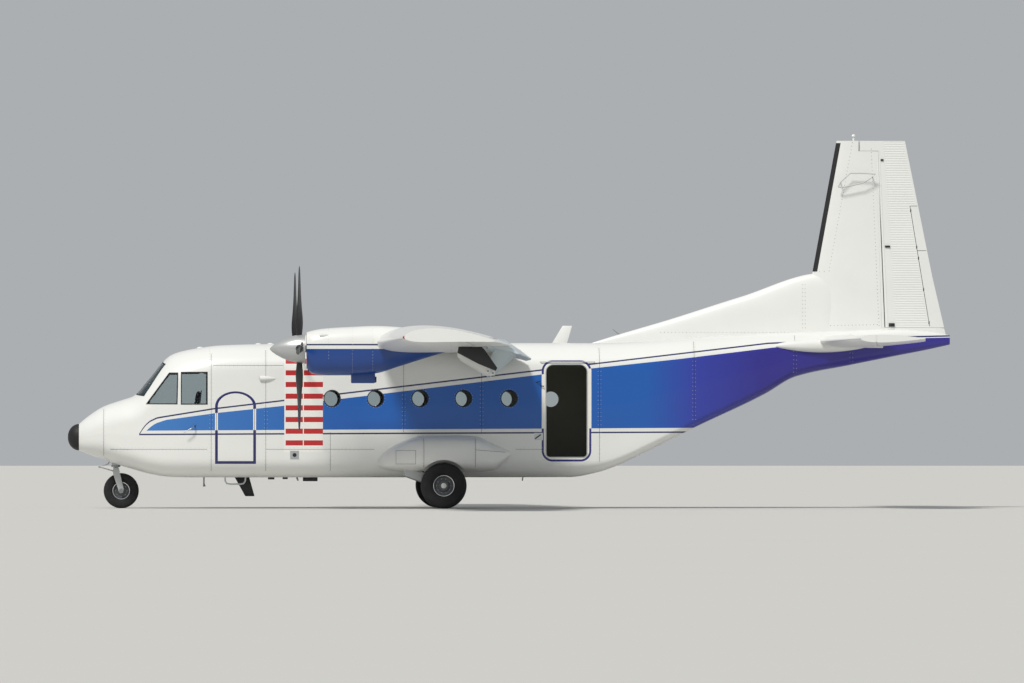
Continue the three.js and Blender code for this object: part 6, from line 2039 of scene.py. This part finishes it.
def cowling_details(name, side):
    """The scoop and the air intake's mouth on a cowling, and the exhaust pipes. The openings of the scoop,
    the intake and the pipes are dark discs and patches: painted shade where the hollows would be.
    """
    centre = side * PROPELLER.y
    y = centre + side * SCOOP_AWAY
    scoop = rod([(x, y - side * way_in, z) for x, way_in, z, _ in COWLING_SCOOP],
                [row[3] for row in COWLING_SCOOP], 24)
    piece(f"cowling_scoop_{name}", scoop, WHITE_PAINT)
    front, _, z, radius = COWLING_SCOOP[0]
    mouth = rod([(front - 1.5, y, z), (front + 4, y, z)], radius - 5, 24)
    intake_shade = loft([rounded_ring(x, centre, 2352, 120, 34, 3, 40) for x in (-3506, -3380)])
    piece(f"cowling_mouth_shades_{name}", [mouth, intake_shade], SEAL_RUBBER_AND_SHADE)
    (x_front, z_front), (x_rear, z_rear) = EXHAUST.front, EXHAUST.rear
    pipes, bore_shades = [], []
    for _, way in SIDES:
        y = centre + way * EXHAUST.away
        pipes.append(rod([(x_front, y, z_front), (x_rear, y, z_rear)], EXHAUST.radius, 32))
        # Dark discs at the pipes' ends stand for the shade inside their bores: painted shade.
        bore_shades.append(rod([(x_rear - 1, y, z_rear), (x_rear + 1.5, y, z_rear)], EXHAUST.bore, 32))
    piece(f"exhaust_pipes_{name}", pipes, EXHAUST_STEEL)
    piece(f"exhaust_bore_shades_{name}", bore_shades, SEAL_RUBBER_AND_SHADE)


def wing_tip_lamps():
    front = wing_values(HALF_SPAN - 40)[0]
    for (name, side), lens in zip(SIDES, (RED_LENS, GREEN_LENS)):
        shell = [rounded_ring(front + x, side * (HALF_SPAN - 48), WING_HEIGHT - 4, wide, tall, 2.2, 28)
                 for x, wide, tall in TIP_LAMP]
        piece(f"tip_lamp_{name}", loft(shell), lens)


def flap_end_plates():
    """The hinge plates under the wing between outer flap and aileron, drawn in black paint as painted shade
    under the wing.
    """
    for name, side in SIDES:
        plate = prism(FLAP_END_PLATE, side * 6192, side * 6208)
        piece(f"flap_end_plate_{name}", plate, BLACK_PAINT_AND_SHADE, soft=4)


# Wheels, legs and nose gear details

SCISSOR = (
    # x, way out, height, from the fork's joint to the leg's
    (-6808, 48, 640),
    (-7043, 14, 706),
    (-6890, 40, 760),
)
SCISSOR_PINS = (
    # end of the link, half length, radius
    (1, 16, 16),
    (0, 56, 15),
    (2, 46, 13),
)
TAXI_LAMP = Sizes(height=812, places=(-6850, -6872, -6890), radii=(20, 40, 44))


def wheel_details(name, wheel, y, rider, bolts):
    half, rim = wheel.width / 2, wheel.rim
    centre = (wheel.x, y, wheel.z)
    ring = [(rim - 12, 0.78), (rim - 2, 0.8), (rim + 2, 0.76), (rim - 2, 0.66), (rim - 14, 0.68)]
    rings = [lathe([(r, way * a * half) for r, a in ring], centre, "y", 72) for _, way in SIDES]
    piece(f"{name}_edge_rings", rings, RING_METAL, rider=rider)
    heads = []
    for x, z in circle(wheel.x, wheel.z, 0.66 * rim, bolts):
        for _, way in SIDES:
            heads.append(rod([(x, y + way * half * share, z) for share in (0.3, 0.43)], 8, 6))
    piece(f"{name}_bolts", heads, STEEL, rider=rider)


def hub_cap(name, wheel, y, rider):
    out = math.copysign(wheel.width / 2, y)
    path = [(wheel.x, y + out * share, wheel.z) for share in (0.56, 0.72, 0.77)]
    piece(name, rod(path, (46, 46, 30), 40), HUB_METAL, rider=rider, soft=2)


def leg_details():
    for name, side in SIDES:
        hose = rod([(-1600, side * 1312, 690), (-1480, side * 1305, 600), (-1350, side * 1290, 520),
                    (MAIN.x - 30, side * 1276, MAIN.z + 40)], 8, 12)
        piece(f"brake_line_{name}", hose, SEAL_RUBBER_AND_SHADE)
    link = [rod([(x, side * y, z) for x, y, z in SCISSOR], 11, 14) for _, side in SIDES]
    for end, half, radius in SCISSOR_PINS:
        x, _, z = SCISSOR[end]
        link.append(rod([(x, -half, z), (x, half, z)], radius, 16))
    piece("nose_scissor_link", link, LEG_ENAMEL, rider="nose_fork")
    collar = rod([(STEERING_X, 0, LEG_BOTTOM + up) for up in (6, 30)], NOSE_LEG.outer + 8, 40)
    piece("nose_leg_collar", collar, STEEL, soft=3)
    lamp = rod([(x, 0, TAXI_LAMP.height) for x in TAXI_LAMP.places], TAXI_LAMP.radii, 32)
    piece("taxi_lamp", lamp, CLEAR_LENS)


# Inside the cockpit and the cabin

PANEL = ((-6480, 1150), (-6080, 1180), (-6040, 1560), (-6120, 1690), (-6430, 1740))
DIALS = [(side * across, z, 42) for side in (-1, 1) for z in (1480, 1375) for across in (565, 470, 375)]
SMALL_DIALS = [(across, z, 32) for z in (1500, 1415, 1330) for across in (-130, -45, 45, 130)]
BEZEL = ((-6, 2), (0, 9), (4, 7), (5, -4), (-6, -4))
ENGINE_LEVERS = ((-75, -60), (-40, -50), (40, -50), (75, -60))
YOKE = (
    # x, way out from the seat's middle, height
    (-5925, -120, 1460),
    (-5930, -135, 1385),
    (-5935, -95, 1345),
    (-5935, 0, 1338),
    (-5935, 95, 1345),
    (-5930, 135, 1385),
    (-5925, 120, 1460),
)
SEAT_PLACE = 470
LEVEL_AXES = ((1, 0, 0), (0, 1, 0), (0, 0, 1))
UPRIGHT_AXES = ((1, 0, 0), (0, 0, 1), (0, 1, 0))
LEANING_AXES = ((100, 0, 680), (0, 1, 0), (-680, 0, 100))
BENCH = Sizes(front=-3700, rear=380, legs=(-3600, -2610, -1620, -630, 280))
BENCH_TUBES = ((652, 1300), (1020, 1300), (1020, 1736))


def panel_face(z):
    """The x of the instrument panel's rear face at a height."""
    return between(PANEL[1][0], PANEL[2][0], (z - PANEL[1][1]) / (PANEL[2][1] - PANEL[1][1]))


def instrument_panel():
    body = hull_body(HOLLOW_FRONT + SEAT_GAP, COCKPIT_REAR, WALL + SEAT_GAP)
    desk = solid("instrument_desk", body, PANEL_BLACK)
    carve(desk, prism(PANEL, -760, 760), how="INTERSECT")
    placed(desk, ["instrument_panel"], soft=4)
    pedestal = block((-6300, -5900), (-150, 150), (FLOOR_TOP + SEAT_GAP, 1300))
    piece("engine_pedestal", pedestal, PANEL_BLACK, ["instrument_panel"], soft=12)
    bezels, faces = [], []
    for y, z, radius in DIALS + SMALL_DIALS:
        centre, glass_radius = (panel_face(z), y, z), radius - 5.5
        bezels.append(lathe([(radius + out, along) for out, along in BEZEL], centre, "x", 32))
        disc = [(AXIS_RADIUS, -3), (AXIS_RADIUS, 2), (glass_radius, 2), (glass_radius, -3)]
        faces.append(lathe(disc, centre, "x", 32))
    piece("dial_bezels", bezels, FRAME_METAL)
    piece("dial_faces", faces, BLACK_PAINT_AND_SHADE)
    piece("yokes_and_levers", cockpit_levers(), SEAL_RUBBER_AND_SHADE)


def cockpit_levers():
    bodies = []
    for y, lean in ENGINE_LEVERS:
        x = -6130 + lean
        bodies.append(rod([(-6130, y, 1290), (x, y, 1390)], 7, 12))
        bodies.append(rod([(x, y - 16, 1398), (x, y + 16, 1398)], 15, 20))
    for _, side in SIDES:
        y = side * SEAT_PLACE
        bodies.append(rod([(panel_face(1330) - 20, y, 1330), (-5935, y, 1352)], 17, 20))
        bodies.append(rod([(x, y + out, z) for x, out, z in YOKE], 14, 18))
    return bodies


def cushion_body(centre, half, axes, channels):
    """A crowned pad with sewn channels. half is half its length, width and thickness along its axes."""
    along, across, thick = half
    axes = np.array(axes, float)
    axes /= np.linalg.norm(axes, axis=1)[:, None]
    rings = []
    for share in np.sin(np.linspace(-math.pi / 2, math.pi / 2, 24 + 10 * channels)) * 0.998:
        edge = (1 - abs(share) ** 4) ** 0.25
        sewn = 1 - 0.2 * abs(math.cos(math.pi * channels * (share + 1) / 2)) ** 16
        wide, deep = across * (0.9 + 0.1 * edge), thick * max(edge, 0.04) * sewn
        ring = rounded_ring(0, 0, 0, wide, deep, 2.6, 40)[:, 1:]
        middle = np.array(centre) + share * along * axes[0]
        rings.append(middle + ring[:, :1] * axes[1] + ring[:, 1:] * axes[2])
    return loft(rings)


def cushion(name, body, material, node):
    """A padded piece that stands for part of a CAD node."""
    obj = piece(name, body, material, [node], angle=60)


def pilot_seats():
    """The pilots' seats: a pad and a back on a frame with two floor rails."""
    front, rear = -5850, -5400
    for name, side in SIDES:
        y = side * SEAT_PLACE
        node = f"pilot_seat_{name}"
        pad = cushion_body((-5630, y, 1300), (212, 222, 58), LEVEL_AXES, 3)
        back = cushion_body((-5388, y, 1670), (335, 212, 46), LEANING_AXES, 4)
        cushion(f"seat_pad_{name}", pad, SEAT_CLOTH, node)
        cushion(f"seat_back_{name}", back, SEAT_CLOTH, node)
        rail_places = [y + way * 150 for _, way in SIDES]
        rails = [block((front + 70, rear - 50), (place - 18, place + 18), (FLOOR_TOP + SEAT_GAP, 925))
                 for place in rail_places]
        legs = [rod([(x, place, 920), (x + 30, place, 1240)], 16, 16)
                for x in (front + 110, rear - 110) for place in rail_places]
        shell = cushion_body((-5345, y, 1680), (345, 222, 14), LEANING_AXES, 1)
        pan = block((front + 30, rear - 20), (y - 215, y + 215), (1222, 1244))
        piece(f"seat_frame_{name}", [*rails, *legs, pan, shell], LEG_ENAMEL, [node])


def benches():
    middle, length = (BENCH.front + BENCH.rear) / 2, (BENCH.rear - BENCH.front) / 2 - 12
    for name, side in SIDES:
        node = f"cabin_bench_{name}"
        seat = cushion_body((middle, side * 838, 1312), (length, 190, 20), LEVEL_AXES, 8)
        back = cushion_body((middle, side * 1012, 1560), (length, 172, 16), UPRIGHT_AXES, 8)
        cushion(f"bench_seat_{name}", seat, BENCH_CLOTH, node)
        cushion(f"bench_back_{name}", back, BENCH_CLOTH, node)
        tubes = [rod([(x, side * y, z) for x in (BENCH.front + 5, BENCH.rear - 5)], 12, 16)
                 for y, z in BENCH_TUBES]
        for x in BENCH.legs:
            leg = [(x, side * 668, FLOOR_TOP + SEAT_GAP), (x, side * 655, 1300), (x, side * 1020, 1298)]
            tubes.append(rod(leg, 11, 14))
        piece(f"bench_frame_{name}", tubes, LEG_ENAMEL, [node])


def kept_nodes():
    """The CAD nodes that stay as they are get their finishes."""
    for node, material in (("cabin_floor", FLOOR_PANEL), ("cabin_bulkhead", LINER)):
        for place in frame["nodes"][node].material_slots:
            place.material = material


# The floor, the light and the camera

GROUND = Sizes(half=400000, low=-100, top=-0.5)
KEY_LIGHT = Sizes(energy=2.7, angle=12, colour=(1, 0.97, 0.92), turn=(38, 0, -30))
SKY = Sizes(code="#e6eaee", strength=0.52)
CAMERA = Sizes(place=(-5.795, -150, 1.0), aim=(0.043, 0, 2.863), lens=307, sensor=36, far=2000)


def stage():
    half = GROUND.half
    floor = as_object("studio_floor", *block((-half, half), (-half, half), (GROUND.low, GROUND.top)),
                      plain("pale studio floor", "#c9c8c4", 0.8, patch=4000, patch_depth=0.01))
    world = bpy.data.worlds.new("studio")
    bpy.context.scene.world = world
    world.use_nodes = True
    background = world.node_tree.nodes["Background"]
    background.inputs[0].default_value = linear(SKY.code)
    background.inputs[1].default_value = SKY.strength
    lamp = bpy.data.lights.new("key", "SUN")
    lamp.energy = KEY_LIGHT.energy
    lamp.angle = math.radians(KEY_LIGHT.angle)
    lamp.color = KEY_LIGHT.colour
    key = bpy.data.objects.new("key", lamp)
    key.rotation_euler = [math.radians(turn) for turn in KEY_LIGHT.turn]
    bpy.context.scene.collection.objects.link(key)


def camera():
    """The camera, far off to port with a long lens, as in the photo."""
    lens = bpy.data.cameras.new("camera")
    lens.lens = CAMERA.lens
    lens.sensor_width = CAMERA.sensor
    lens.clip_end = CAMERA.far
    holder = bpy.data.objects.new("camera", lens)
    holder.location = CAMERA.place
    aim = Vector(CAMERA.aim) - holder.location
    holder.rotation_euler = aim.to_track_quat("-Z", "Y").to_euler()
    bpy.context.scene.collection.objects.link(holder)
    bpy.context.scene.camera = holder


nose()
cockpit()
cabin()
rear()
crew_door()
glazing()
cockpit_glass_frames()
round_windows()
fuselage_seams()
roof_seams()
wing()
wing_rows()
wing_tip_lamps()
flap_end_plates()
nacelle_rows()
for name, side in SIDES:
    nacelle(name, side)
    cowling_details(name, side)
    engine(name, side)
    propeller(name, side)
    tailplane(name, side)
fin()
fin_details()
tail_aerials()
tail_fillets()
aerials()
belly_fittings()
side_fittings()
wheels()
sponson_details()
nose_gear()
leg_details()
instrument_panel()
pilot_seats()
benches()
kept_nodes()
stage()
camera()
bpy.context.scene.view_settings.view_transform = "Standard"
